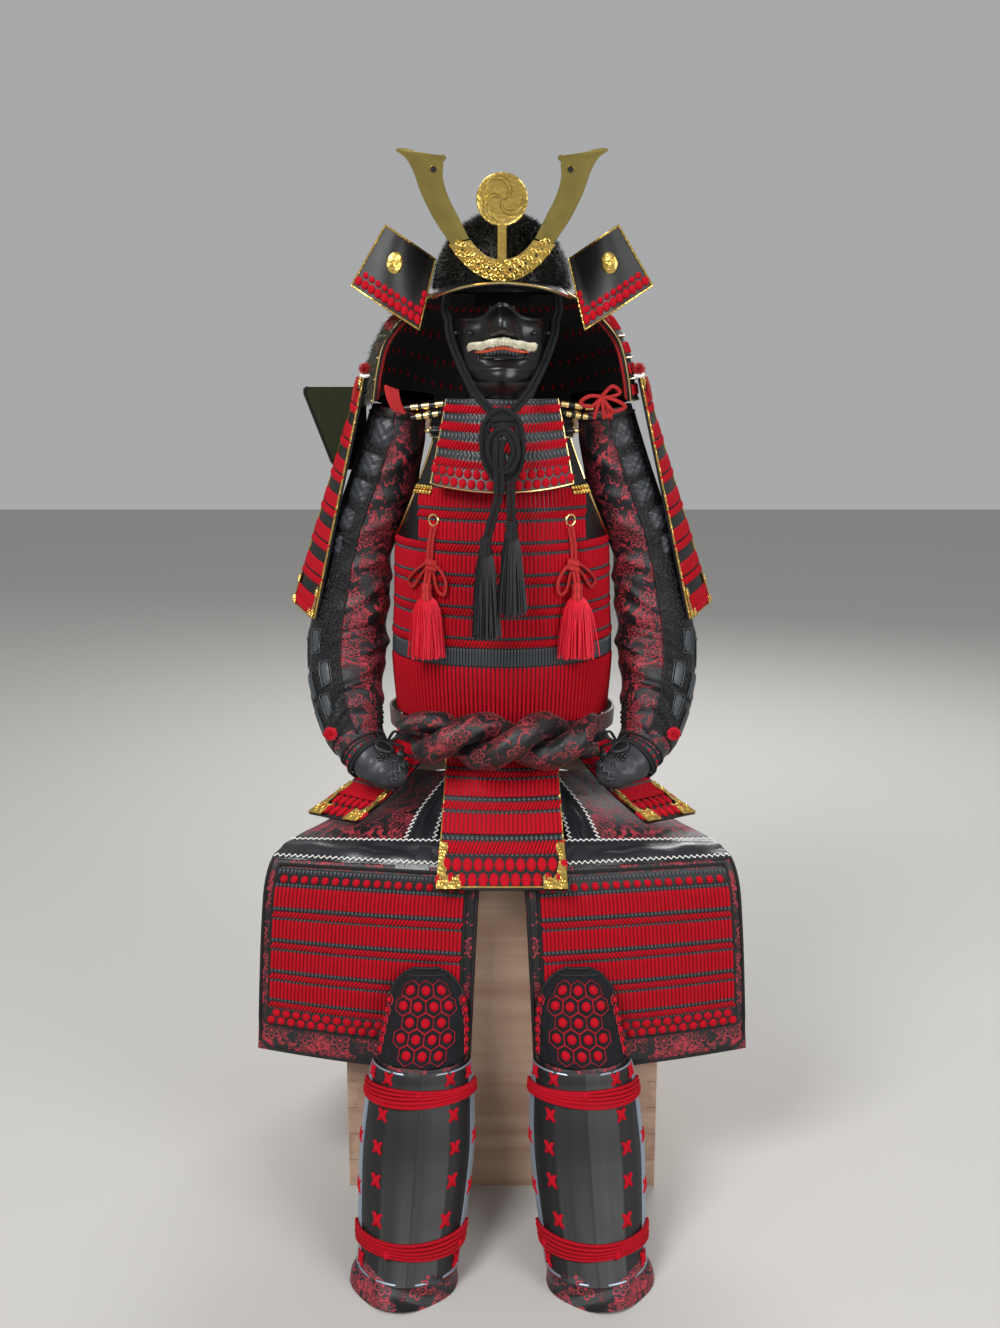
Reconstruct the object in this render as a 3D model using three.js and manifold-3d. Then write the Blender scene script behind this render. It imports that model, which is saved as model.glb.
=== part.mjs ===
// Samurai armour seated on a wooden armour chest, on a plain wooden stand.
// Millimetres, +Z up, the armour faces -Y. The origin is the middle of the chest's underside on the floor.
// Sides are the wearer's: _r is at -X, _l is its mirror image at +X.
import * as THREE from 'three';
import { mergeVertices } from 'three/addons/utils/BufferGeometryUtils.js';
import Module from 'manifold-3d';

const wasm = await Module();
wasm.setup();

// Driving dimensions
const SEAM = 0.3;
const CLOTH = 2.4;
const PLATE = 3;
const CHEST = { width: 460, depth: 420, bodyTop: 475, lidTop: 515, board: 14 };
const STAND = {
  base: { width: 240, depth: 160, thick: 16 },
  post: 36,
  bar: { length: 223, depth: 36, bottom: 1122.4, top: 1146.4 },
  head: { radius: 40, bottom: 1296, shoulder: 1388, top: 1418.9 },
};
const TORSO = { midY: -5, hem: 700, ribTop: 815, ribBottom: 787, frontTop: 1047, backTop: 1112 };
const BOWL = { y: 10, z: 1315, side: 94, front: 114, height: 107, wall: 2.5, fur: 6 };
const BELT = { bottom: 676, top: 702, wall: 4, standoff: 10.1, strand: 20, twistGap: 1.9, axisZ: 690,
  turns: 1.7, reach: 40 };
const CORD = { chin: 6.5, pendant: 6.5, chest: 3.2 };

// Heights that each kind of row stands above its plate
const RISE = { lace: 3, bead: 1, twist: 3.4, knots: 3.8, rib: 1.6, plain: 0 };

const armour = new THREE.Group();

function finish(colour, roughness, metalness) {
  return new THREE.MeshStandardMaterial({ color: colour, roughness, metalness });
}
const RED_LACE = () => finish(0xc0142c, 0.75, 0);
const BLACK_LACQUER = () => finish(0x15161a, 0.3, 0.2);
const BLACK_BROCADE = () => finish(0x241a1e, 0.7, 0);
const BLACK_CORD = () => finish(0x17181a, 0.8, 0);
const BRASS = () => finish(0xc9a24a, 0.35, 0.9);
const PALE_WOOD = () => finish(0xa9754c, 0.6, 0);
const BLACK_FUR = () => finish(0x14160f, 0.95, 0);

function add(name, geometry, material) {
  const mesh = new THREE.Mesh(geometry, material);
  mesh.name = name;
  armour.add(mesh);
}

// The same piece on the wearer's right and, mirrored, on the left
function mirrored(geometry) {
  const copy = geometry.clone();
  const position = copy.getAttribute('position');
  for (let i = 0; i < position.count; i += 1) position.setX(i, -position.getX(i));
  const index = copy.getIndex();
  for (let i = 0; i < index.count; i += 3) {
    const second = index.getX(i + 1);
    index.setX(i + 1, index.getX(i + 2));
    index.setX(i + 2, second);
  }
  return copy;
}

function addPair(name, geometry, material) {
  add(`${name}_r`, geometry, material());
  add(`${name}_l`, mirrored(geometry), material());
}

// Small vector and table helpers
const lerp = (a, b, t) => a + (b - a) * t;
const radians = (degrees) => degrees * Math.PI / 180;
const clamp01 = (t) => Math.min(1, Math.max(0, t));
const ease = (t) => clamp01(t) * clamp01(t) * (3 - 2 * clamp01(t));
const bump = (t) => Math.exp(-t * t);
const steps = (count) => Array.from({ length: count + 1 }, (_, i) => i / count);

// A row of a table at the value of its key, by a smooth curve through the rows
function between(rows, key, value) {
  let i = 0;
  while (i < rows.length - 2 && value > rows[i + 1][key]) i += 1;
  const before = rows[Math.max(0, i - 1)];
  const a = rows[i];
  const b = rows[i + 1];
  const after = rows[Math.min(rows.length - 1, i + 2)];
  const span = b[key] - a[key];
  const t = (value - a[key]) / span;
  const result = {};
  for (const name of Object.keys(a)) {
    const slopeA = (b[name] - before[name]) / (b[key] - before[key]) * span;
    const slopeB = (after[name] - a[name]) / (after[key] - a[key]) * span;
    const t2 = t * t;
    const t3 = t2 * t;
    result[name] = (2 * t3 - 3 * t2 + 1) * a[name] + (t3 - 2 * t2 + t) * slopeA
      + (3 * t2 - 2 * t3) * b[name] + (t3 - t2) * slopeB;
  }
  return result;
}

// The outward normal of a surface, whose u runs to the right and v up as seen from outside
function normalAt(point, u, v) {
  const small = 1e-4;
  const u0 = point(u - small, v);
  const u1 = point(u + small, v);
  const v0 = point(u, v - small);
  const v1 = point(u, v + small);
  const alongU = new THREE.Vector3(u1[0] - u0[0], u1[1] - u0[1], u1[2] - u0[2]);
  const alongV = new THREE.Vector3(v1[0] - v0[0], v1[1] - v0[1], v1[2] - v0[2]);
  return alongU.cross(alongV).normalize();
}

// A surface moved out along its normals, and a surface cut down to part of another
function lift(point, distance) {
  return (u, v) => {
    const n = normalAt(point, u, v);
    const p = point(u, v);
    return [p[0] + n.x * distance, p[1] + n.y * distance, p[2] + n.z * distance];
  };
}
function part(point, u0, u1, v0, v1) {
  return (u, v) => point(lerp(u0, u1, u), lerp(v0, v1, v));
}

// A closed wall: its outer face follows the surface with its raised rows. The plain inner face has only every
// so many of the rows, and the first and last.
function wall(point, us, vs, thick, { closed = false, rise = () => 0, floor = false, innerEvery = 1 } = {}) {
  const columns = closed ? us.length - 1 : us.length;
  const cells = closed ? columns : columns - 1;
  const last = vs.length - 1;
  const innerRows = vs.map((_, j) => j).filter((j) => j === last || (j % innerEvery === 0 && last - j >= innerEvery / 2));
  const positions = [];
  const pushRow = (j, inward) => {
    for (let i = 0; i < columns; i += 1) {
      const p = point(us[i], vs[j]);
      const n = normalAt(point, us[i], vs[j]);
      const move = inward ? -thick : rise(us[i], vs[j]);
      const z = p[2] + n.z * move;
      positions.push(p[0] + n.x * move, p[1] + n.y * move, floor ? Math.max(0, z) : z);
    }
  };
  for (let j = 0; j <= last; j += 1) pushRow(j, false);
  for (const j of innerRows) pushRow(j, true);
  const index = [];
  const quad = (a, b, c, d) => index.push(a, b, c, a, c, d);
  const out = (i, j) => j * columns + (i % columns);
  const into = (i, k) => (last + 1 + k) * columns + (i % columns);
  for (let j = 0; j < last; j += 1) {
    for (let i = 0; i < cells; i += 1) quad(out(i, j), out(i + 1, j), out(i + 1, j + 1), out(i, j + 1));
  }
  for (let k = 0; k < innerRows.length - 1; k += 1) {
    for (let i = 0; i < cells; i += 1) quad(into(i, k + 1), into(i + 1, k + 1), into(i + 1, k), into(i, k));
    if (closed) continue;
    for (let j = innerRows[k]; j < innerRows[k + 1]; j += 1) {
      index.push(into(0, k), out(0, j), out(0, j + 1));
      index.push(into(cells, k), out(cells, j + 1), out(cells, j));
    }
    index.push(into(0, k), out(0, innerRows[k + 1]), into(0, k + 1));
    index.push(into(cells, k), into(cells, k + 1), out(cells, innerRows[k + 1]));
  }
  const innerTop = innerRows.length - 1;
  for (let i = 0; i < cells; i += 1) {
    quad(into(i, 0), into(i + 1, 0), out(i + 1, 0), out(i, 0));
    quad(out(i, last), out(i + 1, last), into(i + 1, innerTop), into(i, innerTop));
  }
  const geometry = new THREE.BufferGeometry();
  geometry.setAttribute('position', new THREE.Float32BufferAttribute(positions, 3));
  geometry.setIndex(index);
  return geometry;
}

// Rows of lacing listed from the top down as [kind, height]; stops are heights measured up from the bottom
function laced(bands) {
  const total = bands.reduce((sum, [, height]) => sum + height, 0);
  const stops = [{ v: 1, rise: RISE[bands[0][0]] }];
  let depth = 0;
  for (const [kind, height] of bands) {
    const edge = Math.min(1.2, height / 5);
    const places = kind === 'lace' || kind === 'rib' ? [edge, height - edge] : [height / 2];
    for (const place of places) stops.push({ v: 1 - (depth + place) / total, rise: RISE[kind] });
    depth += height;
  }
  stops.push({ v: 0, rise: RISE[bands.at(-1)[0]] });
  stops.reverse();
  const rise = (v) => {
    let i = 0;
    while (i < stops.length - 2 && v > stops[i + 1].v) i += 1;
    return lerp(stops[i].rise, stops[i + 1].rise, clamp01((v - stops[i].v) / (stops[i + 1].v - stops[i].v)));
  };
  return { vs: stops.map((stop) => stop.v), rise };
}
const LACED_UNIT = [['lace', 24], ['bead', 5.5], ['twist', 10.5], ['bead', 5.5]];
const repeated = (bands, times) => Array.from({ length: times }, () => bands).flat();

// Solids for joins and cuts
function solid(geometry) {
  const bare = geometry.clone();
  bare.deleteAttribute('normal');
  bare.deleteAttribute('uv');
  const merged = mergeVertices(bare, 1e-4);
  return new wasm.Manifold(new wasm.Mesh({
    numProp: 3,
    vertProperties: new Float32Array(merged.getAttribute('position').array),
    triVerts: new Uint32Array(merged.getIndex().array),
  }));
}
function geometryOf(body) {
  const mesh = body.getMesh();
  const geometry = new THREE.BufferGeometry();
  geometry.setAttribute('position', new THREE.Float32BufferAttribute(mesh.vertProperties, 3));
  geometry.setIndex(Array.from(mesh.triVerts));
  return geometry;
}
function joined(geometries) {
  return geometryOf(geometries.map(solid).reduce((sum, next) => sum.add(next)));
}
function box(x0, x1, y0, y1, z0, z1) {
  const geometry = new THREE.BoxGeometry(x1 - x0, y1 - y0, z1 - z0);
  return geometry.translate((x0 + x1) / 2, (y0 + y1) / 2, (z0 + z1) / 2);
}
// A round bar along a smooth path
function tube(points, radius, sides, stepCount, closed = false) {
  const path = new THREE.CatmullRomCurve3(points.map((p) => new THREE.Vector3(...p)), closed, 'centripetal');
  const ring = Array.from({ length: sides }, (_, i) => {
    const angle = 2 * Math.PI * i / sides;
    return new THREE.Vector2(radius * Math.cos(angle), radius * Math.sin(angle));
  });
  const geometry = new THREE.ExtrudeGeometry(new THREE.Shape(ring), { steps: stepCount, extrudePath: path });
  geometry.deleteAttribute('normal');
  geometry.deleteAttribute('uv');
  return mergeVertices(geometry, 1e-3);
}
// A flat outline in X and Z, thickened along Y and leaned about its foot
function flatPlate(outline, holes, y, thick, lean, footZ) {
  const shape = new THREE.Shape(outline.map(([x, z]) => new THREE.Vector2(x, z)));
  for (const hole of holes) shape.holes.push(new THREE.Path(hole.map(([x, z]) => new THREE.Vector2(x, z))));
  const geometry = new THREE.ExtrudeGeometry(shape, { depth: thick, bevelEnabled: false, steps: 1 });
  geometry.deleteAttribute('normal');
  geometry.deleteAttribute('uv');
  const merged = mergeVertices(geometry, 1e-3);
  const position = merged.getAttribute('position');
  for (let i = 0; i < position.count; i += 1) {
    const height = position.getY(i);
    const forward = position.getZ(i) + lean * (height - footZ);
    position.setXYZ(i, position.getX(i), y - forward, height);
  }
  return merged;
}

// Chest and stand
{
  const { width, depth, bodyTop, lidTop, board } = CHEST;
  const halfW = width / 2;
  const halfD = depth / 2;
  const body = solid(box(-halfW, halfW, -halfD, halfD, 0, bodyTop))
    .subtract(solid(box(-halfW + board, halfW - board, -halfD + board, halfD - board, board, bodyTop + 1)));
  add('chest_body', geometryOf(body), PALE_WOOD());
  const lidBottom = bodyTop + SEAM;
  const lid = solid(box(-halfW, halfW, -halfD, halfD, lidBottom, lidTop))
    .subtract(solid(box(-halfW + board, halfW - board, -halfD + board, halfD - board,
      lidBottom - 1, lidTop - board)));
  add('chest_lid', geometryOf(lid), PALE_WOOD());

  const { base, post, bar, head } = STAND;
  const standFoot = lidTop + SEAM;
  const headProfile = [[0, head.bottom], [head.radius, head.bottom], [head.radius, head.shoulder]];
  for (const t of steps(4).slice(1)) {
    const angle = t * Math.PI / 2;
    headProfile.push([head.radius * Math.cos(angle),
      lerp(head.shoulder, head.top, Math.sin(angle))]);
  }
  headProfile[headProfile.length - 1][0] = 0;
  const headBlock = new THREE.LatheGeometry(headProfile.map(([x, y]) => new THREE.Vector2(x, y)), 16);
  headBlock.rotateX(Math.PI / 2).translate(0, BOWL.y, 0);
  const stand = joined([
    box(-base.width / 2, base.width / 2, -base.depth / 2, base.depth / 2, standFoot, standFoot + base.thick),
    box(-post / 2, post / 2, -post / 2, post / 2, standFoot + base.thick - 1, head.bottom + 10),
    box(-bar.length / 2, bar.length / 2, -bar.depth / 2, bar.depth / 2, bar.bottom, bar.top),
    headBlock,
  ]);
  add('stand', stand, PALE_WOOD());
}

// Cuirass: horizontal sections, x half width, f front depth and b back depth from the middle
const torsoRows = [
  { z: 640, w: 155, f: 122, b: 112 },
  { z: 700, w: 159, f: 124, b: 114 },
  { z: 787, w: 165, f: 131, b: 119 },
  { z: 860, w: 161, f: 134, b: 122 },
  { z: 955, w: 158, f: 133, b: 124 },
  { z: 1047, w: 150, f: 120, b: 118 },
  { z: 1112, w: 128, f: 90, b: 98 },
  { z: 1140, w: 122, f: 80, b: 90 },
];
// Half angle that the front and the back reach round at each height, cut away above for the arms
const ARM_BOTTOM = 950;
const armholeRows = [
  { z: 640, angle: 89.8 },
  { z: ARM_BOTTOM, angle: 89.8 },
  { z: 985, angle: 70 },
  { z: 1047, angle: 54 },
  { z: 1112, angle: 50 },
  { z: 1140, angle: 50 },
];
function torsoPoint(angle, z) {
  const row = between(torsoRows, 'z', z);
  const depth = Math.cos(angle) > 0 ? row.f : row.b;
  return [row.w * Math.sin(angle), TORSO.midY - depth * Math.cos(angle), z];
}
function armhole(z) {
  return radians(z < ARM_BOTTOM ? armholeRows[0].angle : between(armholeRows, 'z', z).angle);
}
function torsoPanel(bottom, top, facing) {
  return (u, v) => {
    const z = lerp(bottom, top, v);
    const reach = armhole(z);
    return torsoPoint(facing + lerp(-reach, reach, u), z);
  };
}
// Above this height the front is laced only between the side panels
const SIDE_PANEL = { bottom: 962, laceHalf: 120 };
function torsoRise(bands, point) {
  return (u, v) => {
    const [x, , z] = point(u, v);
    return z > SIDE_PANEL.bottom && Math.abs(x) > SIDE_PANEL.laceHalf ? 0 : bands.rise(v);
  };
}
{
  const rows = [['bead', 5], ...repeated(LACED_UNIT, 5).slice(0, -1),
    ['rib', TORSO.ribTop - TORSO.ribBottom], ['lace', TORSO.ribBottom - TORSO.hem]];
  const front = laced(rows);
  const frontPoint = torsoPanel(TORSO.hem, TORSO.frontTop, 0);
  add('cuirass_front', wall(frontPoint, steps(12), front.vs, PLATE, { rise: torsoRise(front, frontPoint), innerEvery: 5 }),
    RED_LACE());
  const back = laced([['plain', TORSO.backTop - TORSO.frontTop], ...rows]);
  const backPoint = torsoPanel(TORSO.hem, TORSO.backTop, Math.PI);
  add('cuirass_back', wall(backPoint, steps(9), back.vs, PLATE, { rise: torsoRise(back, backPoint), innerEvery: 5 }),
    RED_LACE());
  const chestPlate = torsoPanel(TORSO.frontTop + SEAM, TORSO.backTop, 0);
  add('chest_plate', wall(chestPlate, steps(8), steps(2), PLATE), BLACK_LACQUER());
}

// Shoulder straps over the stand's bar
{
  const strap = { inner: 74, outer: 104, thick: 5, frontY: -67, backY: 66, foot: TORSO.backTop + 2 * SEAM, crown: 1167.6 };
  const point = (u, v) => {
    const curve = new THREE.CubicBezierCurve(
      new THREE.Vector2(strap.frontY, strap.foot),
      new THREE.Vector2(strap.frontY + 5, strap.crown),
      new THREE.Vector2(strap.backY - 5, strap.crown),
      new THREE.Vector2(strap.backY, strap.foot),
    );
    const p = curve.getPoint(v);
    return [lerp(-strap.outer, -strap.inner, u), p.x, p.y];
  };
  addPair('shoulder_strap', wall(point, steps(2), steps(10), strap.thick), BLACK_LACQUER);
}

// Belt: a band round the waist and two fat strands twisted round each other in front
{
  const bandPoint = (u, v) => {
    const z = lerp(BELT.bottom, BELT.top, v);
    return torsoPoint(2 * Math.PI * u, z);
  };
  const standoff = BELT.standoff + BELT.wall;
  add('belt_band', wall(lift(bandPoint, standoff), steps(24), steps(1), BELT.wall, { closed: true }),
    BLACK_BROCADE());
  const axisOut = standoff + 2 * BELT.strand + 0.4;
  const strandAt = (t, phase) => {
    const angle = radians(lerp(-BELT.reach, BELT.reach, t));
    const axis = torsoPoint(angle, BELT.top);
    const out = new THREE.Vector3(Math.sin(angle), -Math.cos(angle), 0);
    const turn = 2 * Math.PI * BELT.turns * t + phase;
    const radius = BELT.strand + BELT.twistGap;
    const away = axisOut + radius * Math.cos(turn);
    return [axis[0] + out.x * away, axis[1] + out.y * away, BELT.axisZ + radius * Math.sin(turn)];
  };
  for (const [name, phase] of [['belt_twist_a', 0.6], ['belt_twist_b', 0.6 + Math.PI]]) {
    const path = steps(20).map((t) => strandAt(t, phase));
    add(name, tube(path, BELT.strand, 8, 22), BLACK_BROCADE());
  }
}

// Tassets: each hangs from the cuirass hem, straight down behind the belt, then flares to its tip
function tassetPoint(angles, dropZ, tips) {
  return (u, v) => {
    const angle = radians(lerp(angles[0], angles[1], u));
    const start = torsoPoint(angle, TORSO.hem - SEAM);
    const knee = torsoPoint(angle, dropZ);
    const end = [0, 1, 2].map((k) => lerp(tips[0][k], tips[1][k], u));
    const t = 1 - v;
    return [0, 1, 2].map((k) => (1 - t) * (1 - t) * start[k] + 2 * t * (1 - t) * knee[k] + t * t * end[k]);
  };
}
{
  const frontRows = laced([['plain', 46], ['lace', 16], ['bead', 4], ['twist', 10.5], ['bead', 4], ['lace', 15.5],
    ['bead', 5], ['twist', 10], ['bead', 5], ['lace', 23.5], ['bead', 7], ['twist', 10.5], ['bead', 5.5],
    ['lace', 23], ['bead', 8], ['twist', 13], ['bead', 3], ['knots', 15], ['knots', 14], ['plain', 2]]);
  const front = tassetPoint([-31, 31], 642, [[-92, -279, 503], [92, -279, 503]]);
  add('tasset_front', wall(front, steps(6), frontRows.vs, PLATE, { rise: (u, v) => frontRows.rise(v), innerEvery: 3 }),
    RED_LACE());
  const sideRows = laced([['plain', 50], ['lace', 34], ['bead', 6], ['twist', 10], ['bead', 6], ['lace', 30],
    ['knots', 13], ['plain', 3]]);
  const side = tassetPoint([-72, -38], 640, [[-292, -90, 552], [-212, -165, 562]]);
  addPair('tasset_side', wall(side, steps(4), sideRows.vs, PLATE, { rise: (u, v) => sideRows.rise(v), innerEvery: 2 }), RED_LACE);
  const rear = tassetPoint([-166, -116], 620, [[-70, 196, 540], [-215, 130, 540]]);
  addPair('tasset_rear', wall(rear, steps(4), sideRows.vs, PLATE, { rise: (u, v) => sideRows.rise(v), innerEvery: 2 }), RED_LACE);
}

// Thigh guards: cloth over the lap and the chest's front edge, rows from the hem up to the waist
const thighRows = [
  { v: 0.0, outX: -362, outY: -204, outZ: 224, inX: -46, inY: -279, inZ: 222 },
  { v: 0.45, outX: -346, outY: -203, outZ: 462, inX: -34, inY: -263, inZ: 466 },
  { v: 0.55, outX: -334, outY: -194, outZ: 515, inX: -30, inY: -248, inZ: 518 },
  { v: 0.64, outX: -312, outY: -158, outZ: 530, inX: -28, inY: -216, inZ: 548 },
  { v: 0.8, outX: -262, outY: -96, outZ: 545, inX: -24, inY: -168, inZ: 590 },
  { v: 1.0, outX: -150, outY: -40, outZ: 604, inX: -18, inY: -112, inZ: 628 },
];
function thighPoint(u, v) {
  const row = between(thighRows, 'v', v);
  const sag = 10 * Math.sin(Math.PI * u) * ease((0.62 - v) / 0.5);
  return [lerp(row.outX, row.inX, u), lerp(row.outY, row.inY, u) - sag, lerp(row.outZ, row.inZ, u)];
}
{
  const clothVs = [0, 0.13, 0.26, 0.38, 0.45, 0.49, 0.52, 0.55, 0.59, 0.65, 0.74, 0.86, 1];
  addPair('thigh_cloth', wall(thighPoint, steps(6), clothVs, CLOTH), BLACK_BROCADE);
  const unit = [['lace', 28], ['bead', 8.5], ['twist', 9], ['bead', 5]];
  const rows = laced([['bead', 10], ['knots', 11], ['bead', 7], ...repeated(unit, 3),
    ['lace', 26], ['bead', 7], ['twist', 9], ['bead', 3], ['knots', 13], ['knots', 13]]);
  const plates = part(lift(thighPoint, 3 * SEAM + PLATE), 0.055, 0.935, 0.085, 0.53);
  addPair('thigh_plates', wall(plates, steps(6), rows.vs, PLATE, { rise: (u, v) => rows.rise(v), innerEvery: 3 }), RED_LACE);
}

// Arms: sleeve and hand guard follow one path from the finger tips up to the shoulder
const armRows = [
  { t: 0.0, x: -136, y: -172, z: 632, rx: 5, ry: 5 },
  { t: 0.05, x: -150, y: -168, z: 636, rx: 22, ry: 17 },
  { t: 0.12, x: -174, y: -154, z: 644, rx: 31, ry: 24 },
  { t: 0.2, x: -199, y: -134, z: 658, rx: 33, ry: 30 },
  { t: 0.3, x: -220, y: -100, z: 686, rx: 42, ry: 38 },
  { t: 0.4, x: -232, y: -56, z: 730, rx: 51, ry: 46 },
  { t: 0.5, x: -235, y: -22, z: 790, rx: 56, ry: 52 },
  { t: 0.62, x: -226, y: -8, z: 870, rx: 53, ry: 52 },
  { t: 0.76, x: -209, y: 0, z: 960, rx: 46, ry: 51 },
  { t: 0.9, x: -174, y: 3, z: 1060, rx: 46, ry: 49 },
  { t: 0.96, x: -160, y: 4, z: 1106, rx: 45, ry: 47 },
  { t: 1.0, x: -152, y: 4, z: 1150, rx: 40, ry: 41 },
];
function armPoint(around, t) {
  const row = between(armRows, 't', t);
  const low = between(armRows, 't', Math.max(0, t - 0.01));
  const high = between(armRows, 't', Math.min(1, t + 0.01));
  const along = new THREE.Vector3(high.x - low.x, high.y - low.y, high.z - low.z).normalize();
  const side = new THREE.Vector3(1, 0, 0).addScaledVector(along, -along.x).normalize();
  const front = new THREE.Vector3().crossVectors(along, side);
  const angle = 2 * Math.PI * around;
  const p = new THREE.Vector3(row.x, row.y, row.z)
    .addScaledVector(side, row.rx * Math.cos(angle))
    .addScaledVector(front, row.ry * Math.sin(angle));
  return [p.x, p.y, p.z];
}
// The sleeve's largest creases: t along the arm, around where each is deepest, height and width
const sleeveFolds = [
  { t: 0.3, around: 0.8, height: 4, width: 0.02 },
  { t: 0.37, around: 0.95, height: 5, width: 0.022 },
  { t: 0.45, around: 0.85, height: 5, width: 0.024 },
  { t: 0.53, around: 0.05, height: 6, width: 0.024 },
  { t: 0.6, around: 0.9, height: 5, width: 0.026 },
  { t: 0.68, around: 0.0, height: 4, width: 0.026 },
  { t: 0.8, around: 0.85, height: 3.5, width: 0.03 },
];
function sleeveRise(around, t) {
  let rise = 0;
  for (const fold of sleeveFolds) {
    const turn = 2 * Math.PI * (around - fold.around);
    const slant = fold.t + 0.02 * Math.sin(turn);
    rise += fold.height * bump((t - slant) / fold.width) * (0.55 + 0.45 * Math.cos(turn));
  }
  return rise;
}
{
  const wrist = 0.21;
  const ts = steps(18).map((s) => lerp(wrist, 1, s));
  addPair('sleeve', wall(armPoint, steps(12), ts, CLOTH, { closed: true, rise: sleeveRise, innerEvery: 2 }), BLACK_BROCADE);
  // The guard covers the outer and front side of the hand and stays open towards the lap
  const guard = part(armPoint, 0.36, 0.98, 0.004, wrist - 0.003);
  addPair('hand_guard', wall(guard, steps(7), steps(6), 3), BLACK_LACQUER);
}

// Shoulder guards: stiff laced boards beside the arms, turned with their rear edge out
{
  const corner = { topFar: [-215.2, 103.7, 1198], topNear: [-198.9, -47.8, 1196],
    lowFar: [-331.6, 110, 838], lowNear: [-279.6, -52, 842] };
  const point = (u, v) => [0, 1, 2].map((k) => {
    const far = lerp(corner.lowFar[k], corner.topFar[k], v);
    const near = lerp(corner.lowNear[k], corner.topNear[k], v);
    const bow = k === 0 ? -3 * Math.sin(Math.PI * u) : 0;
    return lerp(far, near, u) + bow;
  });
  const unit = [['lace', 16], ['bead', 5], ['twist', 9], ['plain', 19]];
  const rows = laced([['plain', 22], ...repeated(unit, 6), ['lace', 14], ['knots', 12], ['plain', 3]]);
  addPair('shoulder_guard', wall(point, steps(3), rows.vs, 4, { rise: (u, v) => rows.rise(v), innerEvery: 5 }), RED_LACE);
}

// A dark plate with rounded corners behind the wearer's right shoulder
{
  const outline = [[-300, 1176], [-305, 1172], [-305, 1166], [-266, 1062], [-258, 1050], [-212, 1050], [-212, 1176]];
  add('rear_plate', flatPlate(outline, [], 111, 4, 0, 1050), finish(0x20241a, 0.6, 0.1));
}

// Legs: one surface from the floor to the knee, x middle, y front, w half width, d depth
const legRows = [
  { z: 0, x: -133, y: -508, w: 71, d: 84 },
  { z: 28, x: -128, y: -484, w: 65, d: 66 },
  { z: 90, x: -123, y: -438, w: 71, d: 64 },
  { z: 147, x: -119.5, y: -402, w: 75, d: 64 },
  { z: 205, x: -116, y: -374, w: 72, d: 60 },
  { z: 250, x: -114, y: -351, w: 66, d: 54 },
  { z: 270, x: -112, y: -340, w: 61, d: 46 },
  { z: 320, x: -107, y: -312, w: 56, d: 28 },
  { z: 352, x: -107, y: -294.7, w: 48, d: 18 },
  { z: 374, x: -107, y: -283, w: 32, d: 8 },
  { z: 384, x: -107, y: -277.6, w: 14, d: 2 },
];
function legPoint(angle, z) {
  const row = between(legRows, 'z', z);
  return [row.x + row.w * Math.sin(angle), row.y + row.d * (1 - Math.cos(angle)), z];
}
function legPanel(reach, bottom, top) {
  return (u, v) => legPoint(radians(lerp(-reach, reach, u)), lerp(bottom, top, v));
}
{
  const gaiterTop = 262;
  const plate = { foot: 22, top: 258, reach: 84, rows: 5, step: 21 };
  const plateZs = steps(plate.rows).map((t) => lerp(plate.foot, plate.top, t));
  const gaiterZs = [0, ...plateZs, gaiterTop].map((z) => z / gaiterTop);
  const gaiter = legPanel(plate.reach + plate.step, 0, gaiterTop);
  addPair('gaiter', wall(gaiter, steps(10), gaiterZs, CLOTH, { floor: true }), BLACK_BROCADE);
  const knee = legPanel(90, gaiterTop + 1.2, 384);
  addPair('knee_pad', wall(knee, steps(6), [0, 0.25, 0.5, 0.7, 0.84, 0.93, 1], 6), BLACK_CORD);
  const shin = lift(legPanel(plate.reach, plate.foot, plate.top), 3 * SEAM + PLATE);
  addPair('shin_plates', wall(shin, steps(8), steps(plate.rows), PLATE), BLACK_LACQUER);
}

// Helmet: a dome and the fur over it share one family of ellipsoids
function domePoint(grow) {
  return (u, v) => {
    const around = 2 * Math.PI * u;
    const up = v * radians(88);
    return [
      (BOWL.side + grow) * Math.cos(around) * Math.cos(up),
      BOWL.y + (BOWL.front + grow) * Math.sin(around) * Math.cos(up),
      BOWL.z + (BOWL.height + grow) * Math.sin(up),
    ];
  };
}
{
  const domeVs = [0, 0.18, 0.36, 0.54, 0.72, 0.88, 1];
  add('helmet_bowl', cappedDome(0, BOWL.wall, domeVs), BLACK_LACQUER());
  const furVs = [0.08, ...domeVs.slice(1)];
  add('helmet_fur', cappedDome(BOWL.fur, BOWL.fur - SEAM, furVs), BLACK_FUR());
}
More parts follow.
